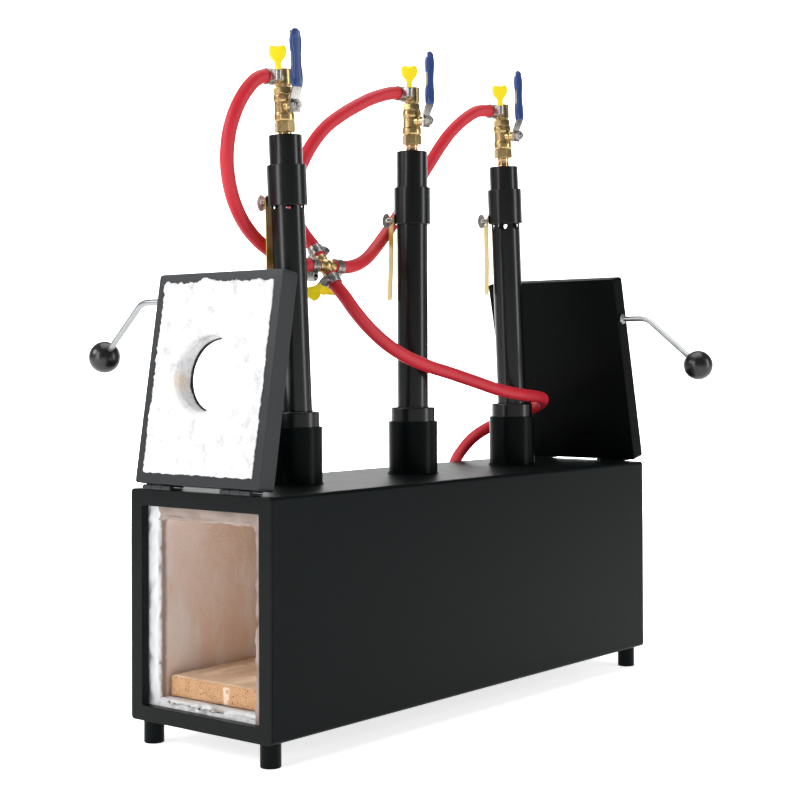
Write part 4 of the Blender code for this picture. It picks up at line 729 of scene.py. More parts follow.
class Repeat:
    """A Geometry Nodes tree that lays many small shapes along or over something."""

    def __init__(self, name, sizes):
        self.tree = bpy.data.node_groups.new(name, "GeometryNodeTree")
        sockets = self.tree.interface
        sockets.new_socket("Geometry", in_out="INPUT", socket_type="NodeSocketGeometry")
        self.identifiers = {}
        for label, value in sizes.items():
            kind = "NodeSocketInt" if isinstance(value, int) else "NodeSocketFloat"
            socket = sockets.new_socket(label, in_out="INPUT", socket_type=kind)
            socket.default_value = value
            self.identifiers[label] = socket.identifier
        sockets.new_socket("Geometry", in_out="OUTPUT", socket_type="NodeSocketGeometry")
        self.given = self.tree.nodes.new("NodeGroupInput").outputs

    def node(self, kind, settings, values):
        made = self.tree.nodes.new(kind)
        for setting, value in settings.items():
            setattr(made, setting, value)
        for socket, value in values.items():
            if isinstance(value, bpy.types.NodeSocket):
                self.tree.links.new(value, made.inputs[socket])
            else:
                made.inputs[socket].default_value = value
        return made.outputs

    def end(self, shape, material):
        solid = self.node("GeometryNodeRealizeInstances", {}, {0: shape})[0]
        painted = self.node("GeometryNodeSetMaterial", {}, {"Geometry": solid, "Material": material})[0]
        self.tree.links.new(painted, self.tree.nodes.new("NodeGroupOutput").inputs[0])

    def plain(self, sizes, host=None):
        """The tree's result as a plain mesh, on a host mesh if it needs one."""
        carrier = in_scene("carrier", host or bpy.data.meshes.new("carrier"))
        laid = carrier.modifiers.new("laid", "NODES")
        laid.node_group = self.tree
        for label, value in sizes.items():
            laid[self.identifiers[label]] = value
        result = as_evaluated(carrier)
        bpy.data.objects.remove(carrier, do_unlink=True)
        return result


def weld_bead_tree():
    """Overlapping flattened beads round a circle."""
    tree = Repeat("weld_bead", {"Ring": 0.030, "Bead": 0.001, "Count": 60, "Seed": 1})
    ring = tree.node("GeometryNodeCurvePrimitiveCircle", {},
                     {"Radius": tree.given["Ring"], "Resolution": 96})[0]
    steps = tree.node("GeometryNodeResampleCurve", {}, {"Curve": ring, "Count": tree.given["Count"]})[0]
    shape = {"Segments": 8, "Rings": 6, "Radius": tree.given["Bead"]}
    bead = tree.node("GeometryNodeMeshUVSphere", {}, shape)[0]
    values = {"Min": (0.75, 0.75, 0.50), "Max": (1.25, 1.25, 0.95), "Seed": tree.given["Seed"]}
    size = tree.node("FunctionNodeRandomValue", {"data_type": "FLOAT_VECTOR"}, values)[0]
    laid = tree.node("GeometryNodeInstanceOnPoints", {},
                     {"Points": steps, "Instance": bead, "Scale": size})[0]
    tree.end(laid, COAT)
    return tree


def band_slot_tree():
    """Ridges between the punched slots of a hose clamp's band."""
    tree = Repeat("band_slots", {"Ring": 0.0088, "Width": 0.0070, "Thickness": 0.0004, "Count": 34})
    ring = tree.node("GeometryNodeCurvePrimitiveCircle", {},
                     {"Radius": tree.given["Ring"], "Resolution": 68})[0]
    points = tree.node("GeometryNodeCurveToPoints", {}, {"Curve": ring, "Count": tree.given["Count"]})
    thick = tree.given["Thickness"]
    size = tree.node("ShaderNodeCombineXYZ", {}, {"X": tree.given["Width"], "Y": thick, "Z": 0.0008})[0]
    ridge = tree.node("GeometryNodeMeshCube", {}, {"Size": size})[0]
    values = {"Points": points["Points"], "Instance": ridge, "Rotation": points["Rotation"]}
    laid = tree.node("GeometryNodeInstanceOnPoints", {}, values)[0]
    tree.end(laid, ZINC)
    return tree


def thread_tree():
    """A screw thread as a fine spiral rib."""
    tree = Repeat("pipe_thread", {"Radius": 0.0075, "Height": 0.012, "Turns": 9.0, "Rib": 0.0005})
    values = {"Resolution": 24, "Rotations": tree.given["Turns"], "Start Radius": tree.given["Radius"],
              "End Radius": tree.given["Radius"], "Height": tree.given["Height"]}
    spiral = tree.node("GeometryNodeCurveSpiral", {}, values)[0]
    rib = tree.node("GeometryNodeCurvePrimitiveCircle", {}, {"Radius": tree.given["Rib"], "Resolution": 6})[0]
    swept = tree.node("GeometryNodeCurveToMesh", {},
                      {"Curve": spiral, "Profile Curve": rib, "Fill Caps": True})[0]
    tree.end(swept, NIPPLE_BRASS)
    return tree


def fibre_tree():
    """Short loose fibres that stand off a wool face."""
    tree = Repeat("wool_fibres", {"Density": 60000.0, "Length": 0.0035, "Thickness": 0.00012, "Seed": 3})
    values = {"Mesh": tree.given["Geometry"], "Density": tree.given["Density"], "Seed": tree.given["Seed"]}
    spots = tree.node("GeometryNodeDistributePointsOnFaces", {}, values)
    shape = {"Vertices": 3, "Side Segments": 1, "Radius Top": 0.00002,
             "Radius Bottom": tree.given["Thickness"], "Depth": tree.given["Length"]}
    fibre = tree.node("GeometryNodeMeshCone", {}, shape)[0]
    values = {"Min": (-1.2, -1.2, -3.1), "Max": (1.2, 1.2, 3.1), "Seed": tree.given["Seed"]}
    lean = tree.node("FunctionNodeRandomValue", {"data_type": "FLOAT_VECTOR"}, values)[0]
    turned = tree.node("FunctionNodeRotateEuler", {}, {"Rotation": spots["Rotation"], "Rotate By": lean})[0]
    values = {"Points": spots["Points"], "Instance": fibre, "Rotation": turned}
    laid = tree.node("GeometryNodeInstanceOnPoints", {}, values)[0]
    tree.end(laid, WOOL)
    return tree


WELD_BEAD = weld_bead_tree()
BAND_SLOTS = band_slot_tree()
THREAD = thread_tree()
FIBRES = fibre_tree()


def piece(name, mesh, material, body="root", stands_for=(), ease=0.0, soft=False):
    """Makes a finished piece from a bmesh and lets it ride on its body."""
    bmesh.ops.recalc_face_normals(mesh, faces=mesh.faces)
    data = mesh_data(name, mesh)
    data.materials.clear()
    data.materials.append(material)
    data.shade_smooth()
    made = in_scene(name, data)
    if ease > 0.0:
        rounded = made.modifiers.new("eased_edges", "BEVEL")
        rounded.width = ease
        rounded.segments = 2
        rounded.limit_method = "ANGLE"
        rounded.angle_limit = SHARP_ANGLE
    elif not soft:
        data.set_sharp_from_angle(angle=SHARP_ANGLE)
    if not soft:
        even = made.modifiers.new("flat_faces_stay_flat", "WEIGHTED_NORMAL")
        even.keep_sharp = ease == 0.0
    if stands_for:
        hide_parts(*stands_for)
    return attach(made, body)


def carve(mesh, tool):
    """The mesh with the tool cut out of it."""
    shapes = []
    for label, shape in (("blank", mesh), ("tool", tool)):
        bmesh.ops.recalc_face_normals(shape, faces=shape.faces)
        shapes.append(in_scene(label, mesh_data(label, shape)))
    cut = shapes[0].modifiers.new("cut", "BOOLEAN")
    cut.operation = "DIFFERENCE"
    cut.solver = "EXACT"
    cut.object = shapes[1]
    result = bmesh.new()
    result.from_mesh(as_evaluated(shapes[0]))
    for made in shapes:
        bpy.data.objects.remove(made, do_unlink=True)
    return result


def add_plain(mesh, plain, placing):
    """Adds a plain mesh to a bmesh at a place."""
    plain.transform(placing)
    mesh.from_mesh(plain)


def eased(profile, radius, steps=3):
    """A closed (radius, height) outline with its corners rounded."""
    points = [Vector(p) for p in profile]
    made = []
    for before, corner, after in zip(points[-1:] + points[:-1], points, points[1:] + points[:1]):
        if corner.x == 0.0:
            made.append(tuple(corner))
            continue
        first = before - corner
        last = after - corner
        reach = min(radius, first.length * 0.45, last.length * 0.45)
        start = corner + first.normalized() * reach
        end = corner + last.normalized() * reach
        for i in range(steps + 1):
            t = i / steps
            made.append(tuple(start * (1 - t) ** 2 + corner * 2 * t * (1 - t) + end * t ** 2))
    return made


def add_sweep(mesh, points, radius, sides, side=None):
    """A round rod or hose along a row of points; radius is one number, or one for each point."""
    radii = radius if isinstance(radius, list) else [radius] * len(points)
    angles = [2 * pi * k / sides for k in range(sides)]
    rings = []
    across = side
    for i, point in enumerate(points):
        ahead = points[min(i + 1, len(points) - 1)] - points[max(i - 1, 0)]
        placing = frame_along(point, ahead, across)
        across = placing.to_3x3() @ Vector((1.0, 0.0, 0.0))
        rings.append([placing @ Vector((radii[i] * cos(a), radii[i] * sin(a), 0.0)) for a in angles])
    add_rings(mesh, rings, closed=False)


def lumps(point, size, octaves=3):
    """Soft noise from about -1 to 1 at a point, with lumps of the given size."""
    return noise.fractal(Vector(point) / size, 1.0, 2.0, octaves)


def add_rings(mesh, rings, closed=True):
    """Skins rings of points, all of one number; the last is joined to the first, or both are capped."""
    made = [[mesh.verts.new(p) for p in ring] for ring in rings]
    for first, second in zip(made, made[1:] + made[:1] if closed else made[1:]):
        for k in range(len(first)):
            m = (k + 1) % len(first)
            mesh.faces.new((first[k], first[m], second[m], second[k]))
    if not closed:
        mesh.faces.new(made[0])
        mesh.faces.new(made[-1])


def dress_shell():
    """The folded sheet box with its feet, sockets and weld beads."""
    outer = box_outline(0.0)
    inner = box_outline(SHEET)
    half = END_X - SHEET - GAP
    mesh = bmesh.new()
    add_rings(mesh, [[(x, y, z) for y, z in outline] for outline, x in
                     ((outer, -half), (outer, half), (inner, half), (inner, -half))])
    bores = bmesh.new()
    bore = SOCKET_DIAMETER / 2 - SOCKET_WALL
    for index in range(BURNER_COUNT):
        add_rod(bores, bore, BOX_TOP - SHEET - OVERRUN, BOX_TOP + OVERRUN, 64,
                over_burner(index))
    mesh = carve(mesh, bores)
    radius = SOCKET_DIAMETER / 2
    for index in range(BURNER_COUNT):
        place = over_burner(index)
        profile = [(bore, BOX_TOP - SHEET), (bore, SOCKET_TOP), (radius, SOCKET_TOP),
                   (radius, BOX_TOP - SHEET / 2)]
        add_lathe(mesh, eased(profile, 0.0008), 96, place)
        bead = WELD_BEAD.plain({"Ring": radius + 0.0002, "Bead": 0.0013, "Count": 84, "Seed": 11 + index})
        add_plain(mesh, bead, over_burner(index, BOX_TOP + 0.0004))
    foot = FOOT_DIAMETER / 2
    for x in (-1, 1):
        for y in (-1, 1):
            place = Matrix.Translation((x * (END_X - FOOT_INSET), y * (SIDE_Y - FOOT_INSET), 0.0))
            profile = ring_outline(0.0, foot, 0.0, FOOT_HEIGHT + SHEET / 2)
            add_lathe(mesh, eased(profile, 0.0012), 48, place)
            bead = WELD_BEAD.plain({"Ring": foot, "Bead": 0.0009, "Count": 40, "Seed": 31 + x + 2 * y})
            add_plain(mesh, bead, lifted(place, FOOT_HEIGHT - 0.0002))
    piece("forge_shell", mesh, SHADED_BOX_COAT, stands_for=["shell"])


def dress_end_frame(name, way):
    """The face frame of one end, with its lip folded inwards round the opening."""
    outer = box_outline(0.0)
    low = (-SIDE_Y + FRAME_SIDE, FOOT_HEIGHT + FRAME_BOTTOM)
    high = (SIDE_Y - FRAME_SIDE, BOX_TOP - FRAME_TOP)
    opening = rounded_rectangle(low, high, 0.0012, CORNER_STEPS)
    lip = rounded_rectangle((low[0] - SHEET, low[1] - SHEET), (high[0] + SHEET, high[1] + SHEET),
                            SHEET * 1.5, CORNER_STEPS)
    mesh = bmesh.new()
    rings = [(outer, 0.0), (outer, SHEET), (lip, SHEET), (lip, SHEET + FRAME_RETURN),
             (opening, SHEET + FRAME_RETURN), (opening, 0.0)]
    add_rings(mesh, [[(way * (END_X - depth), y, z) for y, z in outline] for outline, depth in rings])
    piece(name + "_dressed", mesh, COAT, stands_for=[name], ease=0.0006)


def wool_slab(name, path, outward, half, thickness, seed, ends, swell, stands_for, material, holes=None):
    """A thick blanket that follows a path across the box and runs the box's length, with soft cut ends."""
    mesh = bmesh.new()
    along = 150
    stations = [-half + 2 * half * i / along for i in range(along + 1)]
    through = 9
    loops = []
    for point, normal in zip(path, outward):
        loop = []
        for x in stations:
            spot = Vector((x, point.x, point.y))
            near_end = max(0.0, 1.0 - (half - abs(x)) / 0.012)
            drift = swell * lumps(spot + Vector((seed, 0, 0)), 0.030) + 0.35 * swell * lumps(spot, 0.008)
            torn = 0.5 + lumps(spot + Vector((0, seed, 0)), 0.009)
            drift += ends * near_end * torn - ends * near_end ** 3
            loop.append(spot - Vector((0.0, normal.x, normal.y)) * drift)
        for side, x in ((1, half), (-1, -half)):
            rows = []
            for j in range(1, through):
                share = j / through
                spot = Vector((x, point.x + normal.x * thickness * share,
                               point.y + normal.y * thickness * share))
                torn = lumps(spot + Vector((seed, seed, 0)), 0.010) + 0.3 * lumps(spot, 0.003)
                puff = ends * torn - ends * 0.4
                rows.append(spot + Vector((side * min(puff, 0.0), 0.0, 0.0)))
            if side == 1:
                loop += rows
                loop.append(Vector((half, point.x + normal.x * thickness, point.y + normal.y * thickness)))
                loop.append(Vector((-half, point.x + normal.x * thickness, point.y + normal.y * thickness)))
            else:
                loop += reversed(rows)
        loops.append(loop)
    add_rings(mesh, loops, closed=False)
    if holes is not None:
        mesh = carve(mesh, holes)
    return piece(name, mesh, material, stands_for=stands_for, soft=True)


def dress_lining():
    """The coated wool on the walls and roof."""
    corner = LINING / 4
    inside = rounded_rectangle((-CHAMBER_Y, FLOOR_Z), (CHAMBER_Y, CHAMBER_TOP), corner, 6)
    arch = [Vector(p) for p in inside[:14]]
    feet = [Vector((CHAMBER_Y, FLOOR_Z)), Vector((-CHAMBER_Y, FLOOR_Z))]
    row = [feet[0]] + arch + [feet[1]]
    path = []
    for a, b in zip(row, row[1:]):
        count = max(1, round((b - a).length / 0.005))
        path += [a.lerp(b, i / count) for i in range(count)]
    path.append(row[-1])
    outward = []
    for i, point in enumerate(path):
        ahead = path[min(i + 1, len(path) - 1)] - path[max(i - 1, 0)]
        outward.append(Vector((ahead.y, -ahead.x)).normalized())
    # where the path turns a corner the outer side reaches the shell squarely
    reached = []
    for point, normal in zip(path, outward):
        reach = [LINING / abs(c) for c in normal if abs(c) > 1e-6]
        reached.append(normal * min(reach) / LINING if min(reach) < LINING * 1.5 else normal)
    holes = bmesh.new()
    for index in range(BURNER_COUNT):
        place = over_burner(index)
        add_rod(holes, FLARE_RADIUS + GAP, CHAMBER_TOP - OVERRUN, LINING_TOP + OVERRUN, 48, place)
    wool_slab("coated_lining", path, reached, INSIDE_END, LINING, 3.0, 0.0032, 0.0011, ["wall_lining"],
              COATED, holes)


def dress_floor():
    """The floor blanket, lumpy where it shows in front of the bricks, and the bricks."""
    side = CHAMBER_Y - GAP
    count = 52
    path = [Vector((-side + 2 * side * i / count, BLANKET_TOP)) for i in range(count + 1)]
    down = [Vector((0.0, -1.0)) for _ in path]
    wool_slab("floor_wool", path, down, INSIDE_END, BLANKET, 8.0, 0.0046, -0.0007, ["floor_blanket"], WOOL)
    half = END_X - BRICK_RECESS
    pitch = 2 * half / BRICK_COUNT
    wide = CHAMBER_Y - BRICK_SIDE_GAP
    for i in range(BRICK_COUNT):
        low = -half + i * pitch + GAP / 2
        mesh = bmesh.new()
        add_box(mesh, (low, -wide, BRICK_Z), (low + pitch - GAP, wide, BRICK_TOP), bevel=0.0016, segments=3)
        mesh = remeshed(mesh, 0.0026)
        middle = Vector((low + pitch / 2, 0.0, (BRICK_Z + BRICK_TOP) / 2))
        for vert in mesh.verts:
            inward = 0.0005 * (lumps(vert.co, 0.012) + 0.6 * lumps(vert.co, 0.004)) - 0.0005
            vert.co += vert.normal * min(inward, 0.0)
        piece("soft_brick_%d" % (i + 1), mesh, BRICK, stands_for=["floor_brick_%d" % (i + 1)], soft=True)


def remeshed(mesh, cell):
    """The same solid with an even fine skin."""
    blank = in_scene("blank", mesh_data("blank", mesh))
    skin = blank.modifiers.new("skin", "REMESH")
    skin.mode = "VOXEL"
    skin.voxel_size = cell
    result = bmesh.new()
    result.from_mesh(as_evaluated(blank))
    bpy.data.objects.remove(blank, do_unlink=True)
    result.normal_update()
    return result


def door_frame(way, lean):
    """The frame of a door on its hinge axis: +Z up the open door, +X from its rim to its outer face."""
    turn = Matrix.Rotation(0.0 if way < 0 else pi, 4, "Z") @ Matrix.Rotation(lean, 4, "Y")
    return Matrix.Translation((way * AXIS_X, 0.0, AXIS_Z)) @ turn


def hinge_parts(mesh, placing, length, low, knuckles, shifts, pinned):
    """One side of a hinge: its plate, its knuckles and the pin."""
    near = KNUCKLE_DIAMETER / 2 + KNUCKLE_GAP
    half = HINGE_LENGTH / 2
    lie = placing @ Matrix.Rotation(-pi / 2, 4, "X")
    for shift in shifts:
        shape = bmesh.new()
        add_box(shape, (near, shift - half, low), (length, shift + half, low + LEAF), bevel=0.0003,
                segments=2)
        for start, end in knuckles:
            add_box(shape, (LEAF / 2, shift + start + GAP, low + GAP / 4),
                    (near + KNUCKLE_GAP, shift + end - GAP, low + LEAF - GAP / 4))
        add_plain_shape(mesh, shape, placing)
        for start, end in knuckles:
            roll = ring_outline(PIN_BORE / 2, KNUCKLE_DIAMETER / 2, shift + start, shift + end)
            add_lathe(mesh, eased(roll, 0.0003, 2), 28, lie)
        if pinned:
            pin = ring_outline(0.0, PIN_DIAMETER / 2, shift - half - GAP, shift + half + GAP)
            add_lathe(mesh, eased(pin, 0.0004, 2), 20, lie)


def add_plain_shape(mesh, shape, placing=None):
    """Adds one bmesh to another, at a place if one is given."""
    if placing is not None:
        shape.transform(placing)
    data = mesh_data("shape", shape)
    mesh.from_mesh(data)
    bpy.data.meshes.remove(data)


def dress_hinges():
    """The leaves on the box's top, with their pins."""
    inner = HINGE_LENGTH / 6 + KNUCKLE_GAP / 2
    half = HINGE_LENGTH / 2
    knuckles = [(-half, -inner), (inner, half)]
    for side, way, lean in (("front", -1, FRONT_LEAN), ("rear", 1, REAR_LEAN)):
        placing = door_frame(way, 0.0)
        for number, shift in ((1, -HINGE_SPREAD / 2), (2, HINGE_SPREAD / 2)):
            name = "%s_hinge_leaf_%d" % (side, number)
            mesh = bmesh.new()
            hinge_parts(mesh, placing, leaf_length(lean), -KNUCKLE_DIAMETER / 2, knuckles, [shift], True)
            piece(name + "_dressed", mesh, HINGE, stands_for=[name])


def dress_door(side, way, width, height, lean, handle_up, port):
    """A folded door pan with its wool, handle and knob."""
    name = side + "_door"
    placing = door_frame(way, lean)
    half = width / 2
    low = DOOR_EDGE_OFFSET
    high = low + height
    rim = -RIM_OFFSET
    face = rim + DOOR_DEPTH
    sheet = DOOR_SHEET
    lip = DOOR_LIP
    fold = 0.0014
    eased_low = fold * 0.3

    def outline(inset, corner):
        return rounded_rectangle((-half + inset, low + inset), (half - inset, high - inset), corner,
                                 CORNER_STEPS)
    outer = outline(0.0, DOOR_CORNER)
    pinched = outline(fold, DOOR_CORNER - fold)
    between = outline(eased_low, DOOR_CORNER - eased_low)
    inner = outline(sheet, DOOR_CORNER - sheet)
    opening = outline(lip, sheet / 2)
    rows = [(pinched, face), (between, face - eased_low), (outer, face - fold), (outer, rim + fold),
            (between, rim + eased_low), (pinched, rim), (opening, rim), (opening, rim + sheet),
            (inner, rim + sheet), (inner, face - sheet)]
    mesh = bmesh.new()
    add_rings(mesh, [[placing @ Vector((x, y, z)) for y, z in outline] for outline, x in rows], closed=False)
    middle = (low + high) / 2
    if port:
        hole = bmesh.new()
        port_at = placing @ Matrix.Translation((0.0, PORT_SIDE, middle + PORT_RISE))
        across = port_at @ Matrix.Rotation(pi / 2, 4, "Y")
        add_rod(hole, PORT_DIAMETER / 2, face - sheet - OVERRUN, face + OVERRUN, 96, across)
        mesh = carve(mesh, hole)
    inside = (-HINGE_LENGTH / 6 + KNUCKLE_GAP / 2, HINGE_LENGTH / 6 - KNUCKLE_GAP / 2)
    shifts = (-HINGE_SPREAD / 2, HINGE_SPREAD / 2)
    hinge_parts(mesh, placing, leaf_length(lean), low - LEAF + GAP / 4, [inside], shifts, False)
    # the front pan takes the coat lightened with painted light, the rear pan the one darkened with painted
    # shade
    piece(name + "_pan_dressed", mesh, LIT_DOOR_COAT if way < 0 else SHADED_REAR_COAT, name, [name + "_pan"])
    wool_face(name, placing, half - lip, low + lip, high - lip, rim, face - sheet - GAP, middle, port)
    dress_handle(name, placing, half, rim + HANDLE_DEPTH_SHARE * DOOR_DEPTH, handle_up)


def wool_face(name, placing, half, low, high, rim, back, middle, port):
    """A door's wool: one soft skin over its face, its ragged edge and, where there is a port, the bore."""
    count = 560
    opening = rounded_rectangle((-half, low), (half, high), DOOR_SHEET / 2, CORNER_STEPS)
    corners = [Vector(p) for p in opening]
    lengths = [(b - a).length for a, b in zip(corners, corners[1:] + corners[:1])]
    total = sum(lengths)
    edge = []
    at = 0
    gone = 0.0
    for i in range(count):
        want = total * i / count
        while gone + lengths[at] < want:
            gone += lengths[at]
            at += 1
        edge.append(corners[at].lerp(corners[(at + 1) % len(corners)], (want - gone) / lengths[at]))
    centre = Vector((PORT_SIDE, middle + PORT_RISE)) if port else Vector((0.0, middle))
    hole = (PORT_DIAMETER / 2 + PORT_WOOL_CUT) if port else CLOSED_MIDDLE
    seed = 5.0 if port else 9.0
    ragged = []
    safe = []
    for point in edge:
        outward = Vector((0.0, 0.0))
        if abs(point.x) > half - 0.0008:
            outward.x = 1.0 if point.x > 0 else -1.0
        if point.y > high - 0.0008:
            outward.y = 1.0
        if point.y < low + 0.0008:
            outward.y = -1.0
        spot = Vector((point.x, point.y, seed))
        rough = 0.5 + 0.6 * lumps(spot, 0.012, 4) + 0.5 * lumps(spot, 0.0035, 3)
        reach = 0.0028 if outward.x > 0 else 0.0018
        if outward.y > 0:
            reach = 0.0032
            # a tuft that stands up over the rim
            tuft = max(0.0, 1.0 - abs(point.x - 0.0190) / 0.016)
            rough += (1.6 if port else 0.3) * tuft ** 1.3
        if outward.y < 0:
            reach = 0.0016
        ragged.append(point + outward * (max(min(reach * rough, 0.0062), 0.0001)))
        safe.append(point - outward * 0.0004)
    rings = []

    def row(points, depths):
        rings.append([placing @ Vector((x, p.x, p.y)) for p, x in zip(points, depths)])
    directions = [(point - centre).normalized() for point in edge]
    bore_rows = 14 if port else 1
    mouth = 0.0030 if port else 0.0
    for j in range(bore_rows):
        share = j / max(1, bore_rows - 1) if port else 0.0
        points = []
        depths = []
        for way in directions:
            depth = back + (rim + mouth - back) * share
            spot = Vector((way.x * hole, depth * 1.5, way.y * hole + seed))
            fuzz = 0.0010 * lumps(spot, 0.011, 4) + 0.0004 * lumps(spot, 0.003, 2)
            points.append(centre + way * (hole + (fuzz if port else 0.0)))
            depths.append(depth)
        row(points, depths)
    face_rows = 66
    for j in range(face_rows + 1):
        share = j / face_rows
        points = []
        depths = []
        for way, out in zip(directions, ragged):
            fuzz = 0.0012 * lumps(Vector((way.x * hole, way.y * hole, seed + 2.0)), 0.012, 4) if port else 0.0
            start = centre + way * (hole + mouth * 0.4 + fuzz)
            point = start.lerp(out, share)
            from_out = (out - point).length
            from_hole = (point - start).length
            rise = min(1.0, from_out / 0.010) ** 0.5
            spot = Vector((point.x, point.y, seed))
            bulk = 0.0010 + 0.0009 * lumps(spot, 0.030, 3) + 0.0006 * lumps(spot, 0.009, 4)
            near_hinge = max(0.0, 1.0 - (point.y - low) / 0.020)
            proud = (bulk * (1.0 - 0.8 * near_hinge) + 0.0002) * rise
            if port:
                sunk = max(0.0, 1.0 - from_hole / 0.0040)
                proud -= mouth * sunk ** 2 * 0.9
            else:
                proud = min(proud, 0.0014) - 0.0012 * rise
            fine = 0.00022 * lumps(spot, 0.0022, 2)
            points.append(point)
            depths.append(rim - proud - (fine if share < 1.0 else 0.0) - 0.00015)
        row(points, depths)
    row(safe, [rim + 0.0004] * count)
    row(safe, [back] * count)
    mesh = bmesh.new()
    add_rings(mesh, rings, closed=port)
    made = piece(name + "_wool_dressed", mesh, WOOL, name, [name + "_wool"], soft=True)
    loose = FIBRES.plain({"Density": 30000.0, "Length": 0.0030, "Thickness": 0.00010, "Seed": int(seed)},
                         made.data)
    fluff = bmesh.new()
    fluff.from_mesh(loose)
    piece(name + "_loose_fibres", fluff, WOOL, name, soft=True)


def dress_handle(name, placing, half, depth, up):
    """The bent rod, the weld that holds it and its ball knob."""
    start = Vector((depth, half + GAP, up))
    bend = Vector((depth, half + HANDLE_OUT, up))
    knob = Vector((depth + KNOB_FORWARD, KNOB_REACH, up - KNOB_DROP))
    way_in = (start - bend).normalized()
    way_out = (knob - bend).normalized()
    first = bend + way_in * HANDLE_BEND
    last = bend + way_out * HANDLE_BEND
    points = [start, first]
    for i in range(1, 14):
        t = i / 14
        points.append(first * (1 - t) ** 2 + bend * 2 * t * (1 - t) + last * t ** 2)
    points += [last, knob - way_out * (KNOB_DIAMETER / 2 - SHEET)]
    mesh = bmesh.new()
    add_sweep(mesh, [placing @ p for p in points], ROD_DIAMETER / 2, 28,
              placing.to_3x3() @ Vector((1.0, 0.0, 0.0)))
    blob = bmesh.new()
    bmesh.ops.create_icosphere(blob, subdivisions=5, radius=1.0)
    for vert in blob.verts:
        away = vert.co.copy()
        knobbly = 1.0 + 0.16 * lumps(away + Vector((up, depth, half)), 0.55, 4)
        vert.co = Vector((away.x * WELD_DIAMETER * 0.50, max(away.y, -0.15) * WELD_HEIGHT,
                          away.z * WELD_DIAMETER * 0.56)) * knobbly
        vert.co += start + Vector((0.0, 0.0009, 0.0))
    add_plain_shape(mesh, blob, placing)
    piece(name + "_handle_dressed", mesh, ROD_ZINC, name, [name + "_handle"])
    mesh = bmesh.new()
    ball = KNOB_DIAMETER / 2
    profile = [(0.0, ball * -cos(0.20))]
    profile += [(ball * sin(a), -ball * cos(a)) for a in [0.20 + (pi - 0.26) * i / 40 for i in range(41)]]
    profile.append((0.0, ball * cos(0.06)))
    add_lathe(mesh, profile, 72, placing @ frame_along(knob, way_out))
    piece(name + "_knob_dressed", mesh, KNOB_BLACK, name, [name + "_knob"])


def dress_burner(index):
    """One burner: flare, tube with its air holes, choke with screw and tag, and the valve on top."""
    number = index + 1
    place = burner_tilt(index)
    lean = BURNER_LEANS[index]
    length = TUBE_LENGTHS[index]
    upright = place @ Matrix.Rotation(radians(-lean), 4, "Y")
    inner = TUBE_RADIUS - TUBE_WALL
    mesh = bmesh.new()
    profile = [(inner, -FLARE_THROAT / 2), (TUBE_RADIUS, -FLARE_THROAT / 2), (TUBE_RADIUS, length),
               (NIPPLE_DIAMETER / 2 + GAP, length), (NIPPLE_DIAMETER / 2 + GAP, length - TUBE_CAP),
               (inner, length - TUBE_CAP)]
    add_lathe(mesh, eased(profile, 0.0009), 96, place)
    holes = bmesh.new()
    for i in range(AIR_HOLE_COUNT):
        turn = Matrix.Rotation(radians(AIR_HOLE_TURNS[index]) + 2 * pi * i / AIR_HOLE_COUNT, 4, "Z")
        level = lifted(place, length - AIR_HOLE_DROP)
        hole = level @ turn @ Matrix.Rotation(pi / 2, 4, "Y")
        add_rod(holes, AIR_HOLE_DIAMETER / 2, inner - OVERRUN, TUBE_RADIUS + OVERRUN, 40, hole)
    mesh = carve(mesh, holes)
    low = CHAMBER_TOP + SHEET - PIVOT_Z
    mouth = FLARE_RADIUS - FLARE_WALL
    neck = inner + GAP
    profile = [(mouth, low), (FLARE_RADIUS, low), (FLARE_RADIUS, 0.0), (neck, 0.0), (neck, -FLARE_THROAT),
               (mouth, -FLARE_THROAT)]
    add_lathe(mesh, eased(profile, 0.0019, 5), 96, upright)
    bead = WELD_BEAD.plain({"Ring": TUBE_RADIUS + 0.0002, "Bead": 0.0008, "Count": 80, "Seed": 51 + index})
    add_plain(mesh, bead, lifted(place, 0.0001))
    piece("burner_%d_tube" % number, mesh, TUBE_COAT, stands_for=["burner_tube_%d" % number])
    dress_choke(index, place)
    dress_valve(index, lifted(place, valve_seat(index)))


